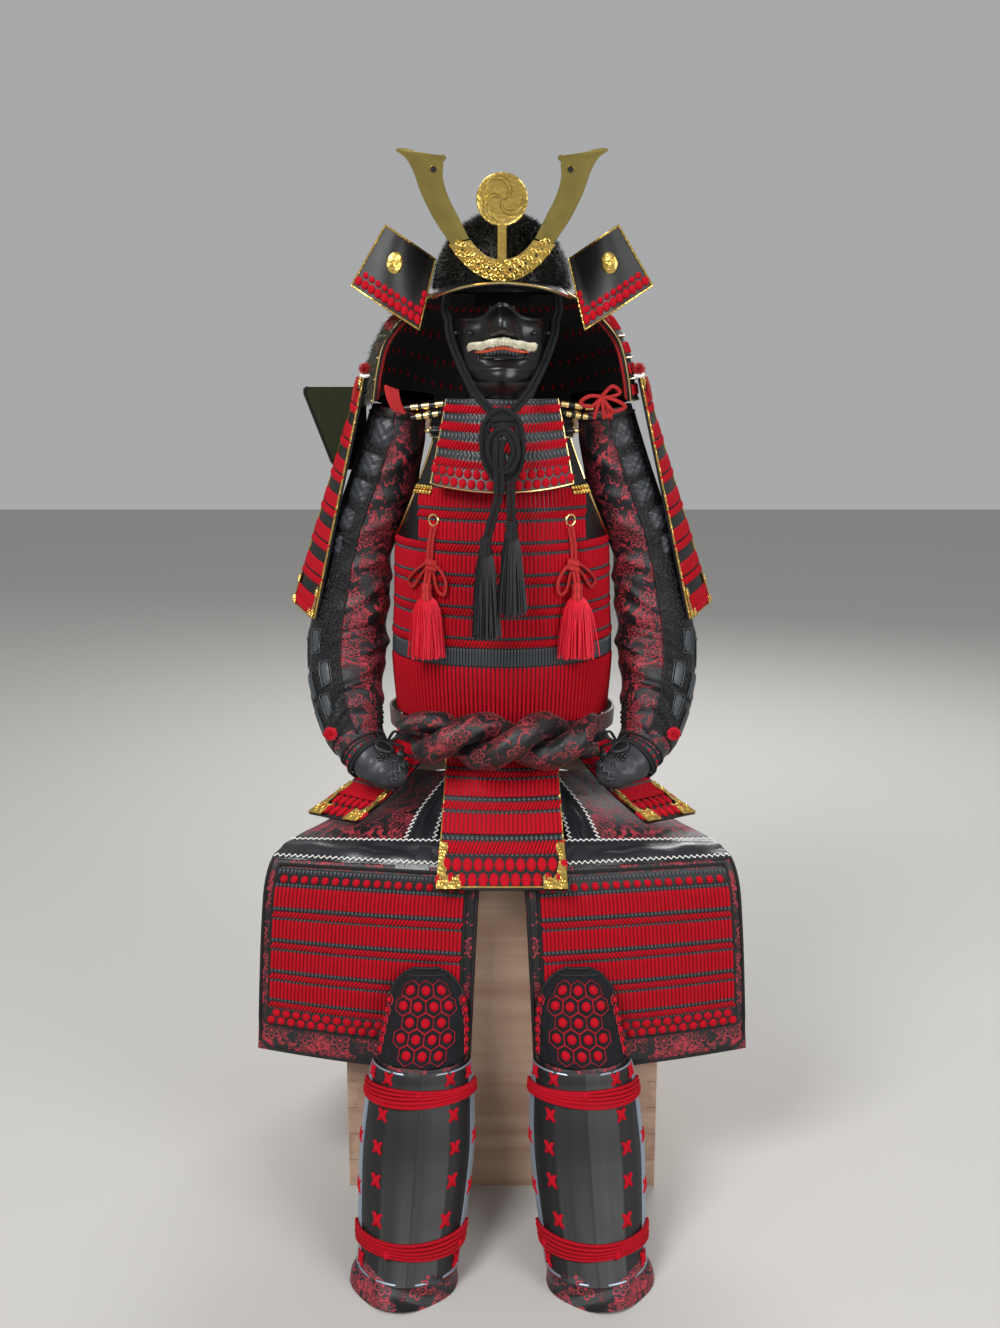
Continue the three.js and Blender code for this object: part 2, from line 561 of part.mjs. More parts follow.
// A dome whose top ring is closed by a small flat cap, outside and inside
function cappedDome(grow, thick, vs) {
  const outer = domePoint(grow);
  const inner = domePoint(grow - thick);
  const around = steps(16).slice(0, -1);
  const count = around.length;
  const positions = [];
  for (const surface of [outer, inner]) {
    for (const v of vs) for (const u of around) positions.push(...surface(u, v));
  }
  const rings = vs.length;
  const inside = rings * count;
  const at = (i, j) => j * count + (i % count);
  const index = [];
  const quad = (a, b, c, d) => index.push(a, b, c, a, c, d);
  for (let j = 0; j < rings - 1; j += 1) {
    for (let i = 0; i < count; i += 1) {
      quad(at(i, j), at(i + 1, j), at(i + 1, j + 1), at(i, j + 1));
      quad(inside + at(i, j + 1), inside + at(i + 1, j + 1), inside + at(i + 1, j), inside + at(i, j));
    }
  }
  for (let i = 0; i < count; i += 1) quad(inside + at(i, 0), inside + at(i + 1, 0), at(i + 1, 0), at(i, 0));
  for (let i = 1; i < count - 1; i += 1) {
    index.push(at(0, rings - 1), at(i, rings - 1), at(i + 1, rings - 1));
    index.push(inside + at(0, rings - 1), inside + at(i + 1, rings - 1), inside + at(i, rings - 1));
  }
  const geometry = new THREE.BufferGeometry();
  geometry.setAttribute('position', new THREE.Float32BufferAttribute(positions, 3));
  geometry.setIndex(index);
  return geometry;
}

// Neck guard: five overlapping lames that flare round the back from cheek to cheek
const guardRows = [
  { v: 0, side: 198, rear: 194, z: 1163, reach: 112 },
  { v: 0.3, side: 191, rear: 187, z: 1208, reach: 112 },
  { v: 0.6, side: 176, rear: 172, z: 1252, reach: 112 },
  { v: 0.8, side: 148, rear: 150, z: 1290, reach: 120 },
  { v: 1, side: 96.5, rear: 116.5, z: 1316, reach: 114 },
];
// The lames hang lower at the back, from where the cosine of the turn passes this value
const NECK_DIP = { depth: 45, from: 0.45 };
function neckGuardPoint(u, v) {
  const row = between(guardRows, 'v', v);
  const angle = radians(lerp(row.reach, -row.reach, u));
  const behind = Math.max(0, (Math.cos(angle) - NECK_DIP.from) / (1 - NECK_DIP.from));
  const dip = NECK_DIP.depth * (1 - v) * behind * behind * (3 - 2 * behind);
  return [row.side * Math.sin(angle), BOWL.y + row.rear * Math.cos(angle), row.z - dip];
}
{
  const lames = 5;
  const vs = [];
  for (let i = 0; i < lames; i += 1) vs.push(i / lames, (i + 0.86) / lames);
  vs.push(1);
  const rise = (u, v) => {
    const within = (v * lames) % 1;
    return v > 0.999 ? 0 : 4 * (1 - within / 0.86 * 0.75) * (within < 0.87 ? 1 : 0);
  };
  add('neck_guard', wall(neckGuardPoint, steps(16), vs, PLATE, { rise, innerEvery: 2 }), BLACK_LACQUER());
}

// Visor: a shallow peak from temple to temple
{
  const point = (u, v) => {
    const angle = radians(lerp(-54, 54, u));
    const rise = Math.cos(angle);
    const inner = [(BOWL.side + BOWL.fur - SEAM) * Math.sin(angle),
      BOWL.y - (BOWL.front + BOWL.fur - SEAM) * Math.cos(angle), 1318 + 11 * rise];
    const outer = [121 * Math.sin(angle), BOWL.y - lerp(136, 185, rise * rise) * Math.cos(angle),
      1297 + 28 * rise * rise];
    return [0, 1, 2].map((k) => lerp(outer[k], inner[k], v));
  };
  add('visor', wall(point, steps(12), steps(2), 2.5), BLACK_LACQUER());
}

// Turnbacks: the helmet's side plates, curved out beside the bowl
{
  const corners = { topOut: [-163, -62, 1407], lowOut: [-213, -66, 1324], lowIn: [-116, -84, 1262],
    topIn: [-95, -16, 1362] };
  const point = (u, v) => [0, 1, 2].map((k) => {
    const out = lerp(corners.lowOut[k], corners.topOut[k], v);
    const into = lerp(corners.lowIn[k], corners.topIn[k], v);
    const hollow = k === 1 ? -22 * Math.sin(Math.PI * Math.min(1, u * 1.15)) * (0.4 + 0.6 * v) : 0;
    return lerp(out, into, u) + hollow;
  });
  addPair('turnback', wall(point, steps(7), steps(4), 2.5), BLACK_LACQUER);
}

// Crest: a curved base, two hooked horns and a disc on a stem
{
  const crest = { y: -113, lean: 0.12, foot: 1330, thick: 2 };
  const plate = (outline, holes, y = crest.y) => flatPlate(outline, holes, y, crest.thick, crest.lean, crest.foot);
  const under = steps(12).map((t) => {
    const x = lerp(-72, 72, t);
    return [x, 1329.4 + 48.1 * Math.pow(Math.abs(x) / 72, 2.2)];
  });
  const over = steps(12).map((t) => {
    const x = lerp(44, -44, t);
    return [x, 1357 + 26 * Math.pow(Math.abs(x) / 44, 2.4)];
  });
  add('crest_base', plate([...under, ...over], []), BRASS());
  const horn = [[-69, 1378.5], [-46, 1385], [-60, 1412], [-75, 1442], [-81, 1466], [-80, 1479], [-72, 1489],
    [-79, 1492], [-90, 1484], [-100, 1486], [-112, 1494], [-126, 1499], [-141, 1499], [-129, 1490],
    [-119, 1474], [-109, 1446], [-92, 1412]];
  const eye = steps(6).slice(1).map((t) => {
    const angle = 2 * Math.PI * t;
    return [-92 + 4 * Math.cos(angle), 1474 + 4 * Math.sin(angle)];
  });
  addPair('crest_horn', plate(horn, [eye]), BRASS);
  const disc = steps(24).slice(1).map((t) => {
    const angle = 2 * Math.PI * t - Math.PI / 2;
    return [35 * Math.cos(angle), 1436 + 35 * Math.sin(angle)];
  });
  add('crest_disc', joined([plate(disc, []), plate([[-5, 1357.6], [5, 1357.6], [5, 1404], [-5, 1404]], [])]),
    BRASS());
}

// Face mask with nose, cheeks, a sunken mouth and a strong chin
const maskRows = [
  { v: 0, z: 1168, w: 44, y: -122, d: 60 },
  { v: 0.2, z: 1196, w: 57, y: -137, d: 80 },
  { v: 0.45, z: 1230, w: 66, y: -137, d: 86 },
  { v: 0.75, z: 1262, w: 71, y: -133, d: 86 },
  { v: 1, z: 1279, w: 70, y: -128, d: 82 },
];
const MASK_REACH = 82;
function maskPoint(u, v) {
  const degrees = lerp(-MASK_REACH, MASK_REACH, u);
  const row = between(maskRows, 'v', v);
  const nose = bump(degrees / 13) * ease((v - 0.58) / 0.12) * (24 - 12 * ease((v - 0.74) / 0.26));
  const cheek = 7 * bump((Math.abs(degrees) - 38) / 16) * bump((v - 0.78) / 0.2);
  const mouth = -6 * bump(degrees / 30) * bump((v - 0.43) / 0.1);
  const chin = 7 * bump(degrees / 26) * bump((v - 0.2) / 0.12);
  const angle = radians(degrees);
  const out = nose + cheek + mouth + chin;
  const bridge = 22 * bump(degrees / 17) * v * v;
  return [(row.w + out) * Math.sin(angle), row.y + row.d * (1 - Math.cos(angle)) - out * Math.cos(angle),
    row.z + bridge];
}
const maskUs = [0, 0.1, 0.2, 0.29, 0.36, 0.42, 0.46, 0.5, 0.54, 0.58, 0.64, 0.71, 0.8, 0.9, 1];
{
  const maskVs = [0, 0.1, 0.2, 0.32, 0.43, 0.52, 0.6, 0.66, 0.74, 0.86, 1];
  add('mask', wall(maskPoint, maskUs, maskVs, PLATE, { innerEvery: 2 }), BLACK_LACQUER());
  const thick = 4.5;
  const lip = lift(maskPoint, 2 * SEAM + thick);
  add('moustache', wall(lip, maskUs.slice(2, -2), [0.52, 0.6], thick), finish(0xe9e2c4, 0.9, 0));
}

// Throat guard under the mask
{
  const rows = laced([['bead', 6], ['lace', 13], ['bead', 9], ['lace', 14], ['bead', 9], ['lace', 14], ['bead', 9],
    ['lace', 12], ['knots', 11], ['knots', 11], ['plain', 4]]);
  const point = (u, v) => {
    const x = lerp(-1, 1, u);
    return [x * lerp(101, 79, v), lerp(-163, -126, v) + 30 * x * x, lerp(1042, 1169, v) + 10 * x * x * (1 - v)];
  };
  add('throat_guard', wall(point, steps(6), rows.vs, PLATE, { rise: (u, v) => rows.rise(v), innerEvery: 4 }), RED_LACE());
}

// Chin cord: a run down each cheek, a big loop knot, two hanging ends with tassels
const KNOT = { y: -186, top: 1162 };
{
  const cheek = (u, v) => lift(maskPoint, CORD.chin + 2 * SEAM)(u, v);
  const run = [[-77, -51, 1313.8], [-79, -54, 1304], [-80, -60, 1290], cheek(0.02, 0.95), cheek(0.06, 0.75),
    cheek(0.11, 0.55), cheek(0.16, 0.36), cheek(0.22, 0.2), [-36, -150, 1178], [-24, -168, 1165],
    [-13.8, -180.6, 1154.8]];
  addPair('chin_cord', tube(run, CORD.chin, 8, 15), BLACK_CORD);
  const y = KNOT.y;
  const loop = [[-20, y, 1140], [0, y - 4, 1156], [20, y, 1140], [25, y, 1110], [20, y, 1078], [2, y - 2, 1062],
    [-16, y, 1078], [-24, y, 1110]];
  const wrap = [[-14, y - 9.6, 1118], [2, y - 10.4, 1131], [16, y - 9.2, 1116], [17, y - 9, 1094], [6, y - 10, 1079],
    [-10, y - 9.5, 1090]];
  const neck = [[-13, y - 3, 1141], [0, y - 10, 1143], [13, y - 3, 1142]];
  const tail = [[-3, y - 17, 1120], [-5, y - 16, 1098], [-4, y - 8, 1070], [-4, y - 2, 1044]];
  add('chin_knot', joined([tube(loop, 7.5, 6, 16, true), tube(wrap, 7.5, 6, 10, true), tube(neck, 8.6, 6, 3),
    tube(tail, 7.9, 6, 5)]), BLACK_CORD());
  const ends = [
    { name: 'a', from: [-4, y - 2, 1041.7], to: [-19.5, y, 986], tassel: [-23, y, 985.6], length: 146 },
    { name: 'b', from: [11.6, y, 1058], to: [13, y, 1008], tassel: [13, y - 2, 1007.6], length: 134 },
  ];
  for (const end of ends) {
    const mid = end.from.map((value, k) => (value + end.to[k]) / 2);
    add(`pendant_cord_${end.name}`, tube([end.from, mid, end.to], CORD.pendant, 8, 4), BLACK_CORD());
    add(`black_tassel_${end.name}`, tassel(end.tassel, end.length, 8.5, { across: 17, out: 11 }, 11), BLACK_CORD());
  }
}
// A tassel: a round head over a skirt of strands whose roots are fused into it
function tassel([x, y, z], length, neckRadius, skirt, strands) {
  const head = new THREE.LatheGeometry([[0, -27.5], [neckRadius, -27], [neckRadius * 1.05, -20],
    [neckRadius * 0.8, -14], [neckRadius, -7], [neckRadius * 0.7, -0.5], [0, 0]]
    .map(([r, h]) => new THREE.Vector2(r, h)), 6);
  head.rotateX(Math.PI / 2).translate(x, y, z);
  const parts = [head];
  for (let i = 0; i < strands; i += 1) {
    const ring = i % 3;
    const angle = 2 * Math.PI * i * 0.382;
    const spread = 0.42 + 0.29 * ring;
    const rootR = neckRadius * (0.3 + 0.25 * ring);
    const drop = length * (0.93 + 0.07 * Math.sin(i * 2.1));
    const end = [Math.cos(angle) * spread * skirt.across, Math.sin(angle) * spread * skirt.out];
    parts.push(tube([
      [x + Math.cos(angle) * rootR, y + 0.8 * Math.sin(angle) * rootR, z - 24],
      [x + end[0] * 0.86, y + end[1] * 0.86, z - length * 0.45],
      [x + end[0], y + end[1], z - drop],
    ], skirt.across * 0.15, 3, 2));
  }
  return joined(parts);
}

// Chest ornaments: a ring on each side of the cuirass, a bow of cord and a red tassel
{
  const middle = -98;
  const faceY = (x, z) => torsoPoint(Math.asin(x / between(torsoRows, 'z', z).w), z)[1] - RISE.twist;
  const off = (x, z, away) => [x, faceY(x, z) - away, z];
  const ring = new THREE.TorusGeometry(8, 1.8, 5, 12);
  ring.rotateX(Math.PI / 2).rotateZ(-0.62).translate(middle, faceY(middle, 998) - 2.6, 998);
  addPair('chest_ring', mergeVertices(stripped(ring), 1e-3), BRASS);
  const r = CORD.chest;
  const stem = [off(middle, 988.4, 5.5), off(middle - 4, 965, 6.5), off(middle - 6, 935, 7), off(middle - 9, 912.6, 20)];
  const outerLoop = [off(middle - 6, 938, 6), off(middle - 24, 926, 6), off(middle - 38, 906, 6),
    off(middle - 31, 899, 6), off(middle - 20, 916, 6)];
  const innerLoop = [off(middle - 4, 938, 6), off(middle + 8, 930, 6), off(middle + 18, 912, 6),
    off(middle + 15, 893, 6), off(middle + 6, 898, 6), off(middle, 920, 6)];
  addPair('chest_cord', joined([tube(stem, r * 1.3, 5, 4), tube(outerLoop, r, 5, 9, true),
    tube(innerLoop, r, 5, 9, true)]), RED_LACE);
  addPair('red_tassel', tassel(off(middle - 10, 911.2, 22), 112, 8, { across: 24, out: 11.5 }, 11), RED_LACE);
}
function stripped(geometry) {
  geometry.deleteAttribute('normal');
  geometry.deleteAttribute('uv');
  return geometry;
}

export default armour;
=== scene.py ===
"""The looks of a suit of samurai armour seated on its wooden chest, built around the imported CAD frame.

Sizes are millimetres, as in the CAD source, until a mesh is made.
+X is the viewer's right, -Y the front, +Z up.
Pieces named _r are on the wearer's right, at -X, and _l mirrors them.
"""
import math

import bmesh
import bpy
import numpy as np
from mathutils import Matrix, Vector


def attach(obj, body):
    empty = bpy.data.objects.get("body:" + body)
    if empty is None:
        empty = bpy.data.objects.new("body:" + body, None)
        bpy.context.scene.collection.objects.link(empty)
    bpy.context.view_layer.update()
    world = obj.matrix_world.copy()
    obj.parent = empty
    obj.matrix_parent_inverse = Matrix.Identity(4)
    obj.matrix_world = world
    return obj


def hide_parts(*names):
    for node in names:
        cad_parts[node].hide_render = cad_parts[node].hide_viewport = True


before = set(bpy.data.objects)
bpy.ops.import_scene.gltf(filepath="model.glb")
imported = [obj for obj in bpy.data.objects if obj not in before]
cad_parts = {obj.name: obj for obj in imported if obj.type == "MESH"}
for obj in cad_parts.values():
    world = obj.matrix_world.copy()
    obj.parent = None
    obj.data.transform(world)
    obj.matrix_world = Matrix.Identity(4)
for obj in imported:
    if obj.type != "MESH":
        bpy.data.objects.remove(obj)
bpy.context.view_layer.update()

MM = 0.001
SEAM = 0.3
CLOTH = 2.4
PLATE = 3.0
SIDES = (("r", 1), ("l", -1))
rng = np.random.default_rng(7)


# Camera, light and floor
PHOTO = {"height": 1328, "focal_px": 1500, "sensor_mm": 36}
EYE = Vector((0, -2.245, 1.28))
EYE_TILT = math.radians(13)


def make_camera():
    data = bpy.data.cameras.new("photo_camera")
    data.sensor_width = PHOTO["sensor_mm"]
    data.lens = PHOTO["focal_px"] / PHOTO["height"] * PHOTO["sensor_mm"]
    data.shift_x = -2 / PHOTO["height"]
    camera = bpy.data.objects.new("photo_camera", data)
    camera.location = EYE
    camera.rotation_euler = (math.pi / 2 - EYE_TILT, 0, 0)
    bpy.context.scene.collection.objects.link(camera)
    bpy.context.scene.camera = camera


def make_light(name, location, size, power):
    data = bpy.data.lights.new(name, "AREA")
    data.size = size
    data.energy = power
    light = bpy.data.objects.new(name, data)
    light.location = location
    light.rotation_euler = (Vector((0, 0, 0.8)) - light.location).to_track_quat("-Z", "Y").to_euler()
    bpy.context.scene.collection.objects.link(light)


make_camera()
make_light("key_light", Vector((-1.5, -2.4, 3.2)), 1.4, 100)
make_light("fill_light", Vector((2.2, -2.4, 2.0)), 1.8, 55)
make_light("back_light", Vector((0.6, 2.6, 2.6)), 1.8, 70)


# Tables of sections, read by a smooth curve through their rows
class Table:
    def __init__(self, names, *rows):
        self.names = names.split()
        self.rows = np.array(rows, float)

    def at(self, value):
        value = np.asarray(value, float)
        keys = self.rows[:, 0]
        i = np.clip(np.searchsorted(keys[1:-1], value), 0, len(keys) - 2)
        before = self.rows[np.maximum(i - 1, 0)]
        a = self.rows[i]
        b = self.rows[i + 1]
        after = self.rows[np.minimum(i + 2, len(keys) - 1)]
        span = b[..., :1] - a[..., :1]
        t = (value[..., None] - a[..., :1]) / span
        slope_a = (b - before) / (b[..., :1] - before[..., :1]) * span
        slope_b = (after - a) / (after[..., :1] - a[..., :1]) * span
        mix = ((2 * t**3 - 3 * t**2 + 1) * a + (t**3 - 2 * t**2 + t) * slope_a
               + (3 * t**2 - 2 * t**3) * b + (t**3 - t**2) * slope_b)
        return {name: mix[..., k] for k, name in enumerate(self.names)}


def lerp(a, b, t):
    return a + (b - a) * t


def bump(t):
    return np.exp(-np.square(t))


def ease(t):
    t = np.clip(t, 0, 1)
    return t * t * (3 - 2 * t)


def stack(x, y, z):
    return np.stack(np.broadcast_arrays(x, y, z), -1).astype(float)


# Surfaces: functions of u, to the right, and v, up, as seen from outside
def normals(point, u, v):
    small = 1e-4
    along_u = point(u + small, v) - point(u - small, v)
    along_v = point(u, v + small) - point(u, v - small)
    n = np.cross(along_u, along_v)
    return n / np.maximum(np.linalg.norm(n, axis=-1, keepdims=True), 1e-12)


def lifted(point, distance):
    return lambda u, v: point(u, v) + normals(point, u, v) * distance


def part(point, u0, u1, v0, v1):
    return lambda u, v: point(lerp(u0, u1, u), lerp(v0, v1, v))


# Meshes
class Shape:
    """Points in millimetres, faces and texture places, gathered before one object is made of them."""

    def __init__(self):
        self.points = []
        self.faces = []
        self.places = []
        self.count = 0

    def add(self, points, faces, places=None):
        points = np.asarray(points, float).reshape(-1, 3)
        if places is None:
            places = np.zeros((len(points), 2))
        self.points.append(points)
        self.places.append(np.asarray(places, float).reshape(-1, 2))
        self.faces.append((np.asarray(faces, int) + self.count))
        self.count += len(points)

    def mirrored(self, sign):
        if sign > 0:
            return self
        other = Shape()
        other.points = [p * np.array([-1.0, 1, 1]) for p in self.points]
        other.faces = [f[:, ::-1] for f in self.faces]
        other.places = list(self.places)
        other.count = self.count
        return other

    def make(self, name, material, slot=None, replaces=(), sharp=40, weld=False):
        mesh = bpy.data.meshes.new(name)
        points = np.concatenate(self.points) * MM
        faces = []
        for group in self.faces:
            faces.extend(group.tolist())
        mesh.from_pydata(points.tolist(), [], faces)
        places = np.concatenate(self.places) * MM
        corners = np.zeros(len(mesh.loops), int)
        mesh.loops.foreach_get("vertex_index", corners)
        layer = mesh.uv_layers.new(name="place")
        layer.data.foreach_set("uv", places[corners].astype(np.float32).ravel())
        if weld:
            joined = bmesh.new()
            joined.from_mesh(mesh)
            bmesh.ops.remove_doubles(joined, verts=joined.verts, dist=1e-6)
            joined.to_mesh(mesh)
            joined.free()
        mesh.materials.append(material)
        mesh.polygons.foreach_set("use_smooth", [True] * len(mesh.polygons))
        mesh.set_sharp_from_angle(angle=math.radians(sharp))
        mesh.update()
        piece = bpy.data.objects.new(name, mesh)
        bpy.context.scene.collection.objects.link(piece)
        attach(piece, "root")
        if replaces:
            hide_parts(*([replaces] if isinstance(replaces, str) else replaces))
        return piece


def grid_faces(columns, rows, wrap=False):
    cells = columns if wrap else columns - 1
    i, j = np.meshgrid(np.arange(cells), np.arange(rows - 1))
    i, j = i.ravel(), j.ravel()
    k = (i + 1) % columns
    return np.stack([j * columns + i, j * columns + k, (j + 1) * columns + k, (j + 1) * columns + i], -1)


def arc_places(points):
    """Texture places of a grid of points: real lengths along its middle row and middle column."""
    rows, columns = points.shape[:2]
    across = points[rows // 2]
    up = points[:, columns // 2]
    s = np.concatenate([[0], np.cumsum(np.linalg.norm(np.diff(across, axis=0), axis=1))])
    t = np.concatenate([[0], np.cumsum(np.linalg.norm(np.diff(up, axis=0), axis=1))])
    s -= s.mean()
    return np.stack(np.meshgrid(s, t), -1)


def shell(point, us, vs, thick, rise=None, closed=False, floor=False):
    """A wall of cloth or plate: outer face, inner face and edges, with a seam column where it closes."""
    shape = Shape()
    U, V = np.meshgrid(us, vs)
    n = normals(point, U, V)
    base = point(U, V)
    up = rise(U, V)[..., None] if rise else 0
    outer = base + n * up
    inner = base - n * thick
    if floor:
        outer[..., 2] = np.maximum(outer[..., 2], 0)
        inner[..., 2] = np.maximum(inner[..., 2], 0)
    rows, columns = U.shape
    places = arc_places(outer)
    both = np.concatenate([outer.reshape(-1, 3), inner.reshape(-1, 3)])
    face = grid_faces(columns, rows)
    faces = [face, face[:, ::-1] + rows * columns]
    inside = rows * columns
    i = np.arange(columns - 1)
    top = (rows - 1) * columns
    faces.append(np.stack([inside + i, inside + i + 1, i + 1, i], -1))
    faces.append(np.stack([top + i, top + i + 1, inside + top + i + 1, inside + top + i], -1))
    if not closed:
        j = np.arange(rows - 1) * columns
        right = j + columns - 1
        faces.append(np.stack([inside + j, j, j + columns, inside + j + columns], -1))
        faces.append(np.stack([inside + right, inside + right + columns, right + columns, right], -1))
    shape.add(both, np.concatenate(faces), np.concatenate([places.reshape(-1, 2)] * 2))
    return shape


def steps(count):
    return np.linspace(0, 1, count + 1)


def smooth_path(points, count, closed=False):
    """Points along a smooth centripetal curve through the given ones, evenly spread by its parameter."""
    p = np.array(points, float)
    if closed:
        p = np.concatenate([p[-1:], p, p[:2]])
    else:
        p = np.concatenate([[2 * p[0] - p[1]], p, [2 * p[-1] - p[-2]]])
    segments = len(p) - 3
    result = []
    for s in np.linspace(0, segments, count + 1):
        i = min(int(s), segments - 1)
        t = s - i
        p0, p1, p2, p3 = p[i:i + 4]
        d1 = max(np.linalg.norm(p1 - p0), 1e-9) ** 0.5
        d2 = max(np.linalg.norm(p2 - p1), 1e-9) ** 0.5
        d3 = max(np.linalg.norm(p3 - p2), 1e-9) ** 0.5
        m1 = (p1 - p0) / d1 - (p2 - p0) / (d1 + d2) + (p2 - p1) / d2
        m2 = (p2 - p1) / d2 - (p3 - p1) / (d2 + d3) + (p3 - p2) / d3
        m1, m2 = m1 * d2, m2 * d2
        result.append((2 * t**3 - 3 * t**2 + 1) * p1 + (t**3 - 2 * t**2 + t) * m1
                      + (3 * t**2 - 2 * t**3) * p2 + (t**3 - t**2) * m2)
    return np.array(result)


def frames_along(path, closed=False):
    """Two directions square to a path at each of its points, turned as little as possible along it."""
    tangent = np.gradient(path, axis=0)
    if closed:
        tangent[0] = tangent[-1] = path[1] - path[-2]
    tangent /= np.maximum(np.linalg.norm(tangent, axis=1, keepdims=True), 1e-9)
    side = np.cross(tangent[0], [0, 1, 0.01])
    sides = []
    for t in tangent:
        side = side - t * np.dot(side, t)
        side /= max(np.linalg.norm(side), 1e-9)
        sides.append(side)
    sides = np.array(sides)
    return sides, np.cross(tangent, sides)


def rod(shape, path, radius, sides=8, closed=False, ends=True):
    """A round bar along a path; radius may be one number or one for each point."""
    path = np.asarray(path, float)
    a, b = frames_along(path, closed)
    radius = np.broadcast_to(np.asarray(radius, float), (len(path),))[:, None, None]
    turn = np.linspace(0, 2 * math.pi, sides, endpoint=False)
    ring = (a[:, None] * np.cos(turn)[None, :, None] + b[:, None] * np.sin(turn)[None, :, None]) * radius
    points = path[:, None] + ring
    length = np.concatenate([[0], np.cumsum(np.linalg.norm(np.diff(path, axis=0), axis=1))])
    around = np.linspace(0, 1, sides, endpoint=False) * 2 * math.pi * float(radius.mean())
    places = np.stack(np.meshgrid(around, length), -1)
    shape.add(points, grid_faces(sides, len(path), wrap=True), places)
    if ends and not closed:
        for ring_points, order in ((points[0], -1), (points[-1], 1)):
            centre = ring_points.mean(0)
            fan = np.stack([np.arange(sides), (np.arange(sides) + 1) % sides, np.full(sides, sides)],
                           -1)[:, ::order]
            shape.add(np.concatenate([ring_points, centre[None]]), fan)


# Small forms of the lacing, as x across, y up and z out from the plate, in millimetres
def half_round(width, length, height, tip=0.0, rows=4, arc=5, lean=0.0, round_ends=False):
    """A cord lying on a plate. Its top narrows to a point of the given length, or both ends are round."""
    ys = np.linspace(-length / 2, length / 2, rows)
    widths = np.ones(rows)
    if round_ends:
        turn = np.linspace(-math.pi / 2, math.pi / 2, rows)
        ys = np.sin(turn) * length / 2
        widths = np.maximum(np.cos(turn) ** 0.5, 0.12)
    if tip:
        ys = np.append(ys[:-1], [length / 2 - tip, length / 2 - tip * 0.4, length / 2])
        widths = np.append(widths[:-1], [1, 0.72, 0.1])
    turn = np.linspace(math.pi, 0, arc)
    x = np.cos(turn)[None, :] * widths[:, None] * width / 2 + ys[:, None] * lean
    z = np.sin(turn)[None, :] ** 0.8 * height * np.maximum(widths[:, None], 0.4)
    y = np.broadcast_to(ys[:, None], x.shape)
    points = np.stack([x, y, z], -1)
    flat = np.stack([x - ys[:, None] * lean, y], -1)
    return points.reshape(-1, 3), grid_faces(arc, len(ys)), flat.reshape(-1, 2)


def button(width, height, out, rings=3, sides=8):
    """A round or oval head standing on a plate."""
    up = np.linspace(0, math.pi / 2, rings + 1)[:-1]
    turn = np.linspace(0, 2 * math.pi, sides, endpoint=False)
    x = np.cos(up)[:, None] * np.cos(turn)[None] * width / 2
    y = np.cos(up)[:, None] * np.sin(turn)[None] * height / 2
    z = np.broadcast_to(np.sin(up)[:, None] * out, x.shape)
    points = np.stack([x, y, z], -1).reshape(-1, 3)
    points = np.concatenate([points, [[0, 0, out]]])
    ring = grid_faces(sides, rings, wrap=True)
    last = (rings - 1) * sides
    i = np.arange(sides)
    cap = np.stack([last + i, last + (i + 1) % sides, np.full(sides, rings * sides),
                    np.full(sides, rings * sides)], -1)
    return points, (ring, cap[:, :3]), points[:, :2]


def set_on(shape, form, point, u, v, span, lift=0.0):
    """Copies of a small form set on a surface at many places. span is the surface's height in millimetres."""
    points, faces, places = form
    u, v = np.atleast_1d(u).astype(float), np.atleast_1d(v).astype(float)
    u, v = np.broadcast_arrays(u, v)
    small = 1e-3
    wide = np.linalg.norm(point(u + small, v) - point(u - small, v), axis=-1) / (2 * small)
    U = u[:, None] + points[None, :, 0] / wide[:, None]
    V = v[:, None] + points[None, :, 1] / span
    P = point(U, V) + normals(point, U, V) * (points[None, :, 2, None] + lift)
    k = len(points)
    offset = (np.arange(len(u)) * k)[:, None, None]
    for group in faces if isinstance(faces, tuple) else (faces,):
        moved = (group[None] + offset).reshape(-1, group.shape[1])
        shape.faces.append(moved + shape.count)
    shape.points.append(P.reshape(-1, 3))
    shape.places.append(np.tile(places, (len(u), 1)))
    shape.count += len(u) * k


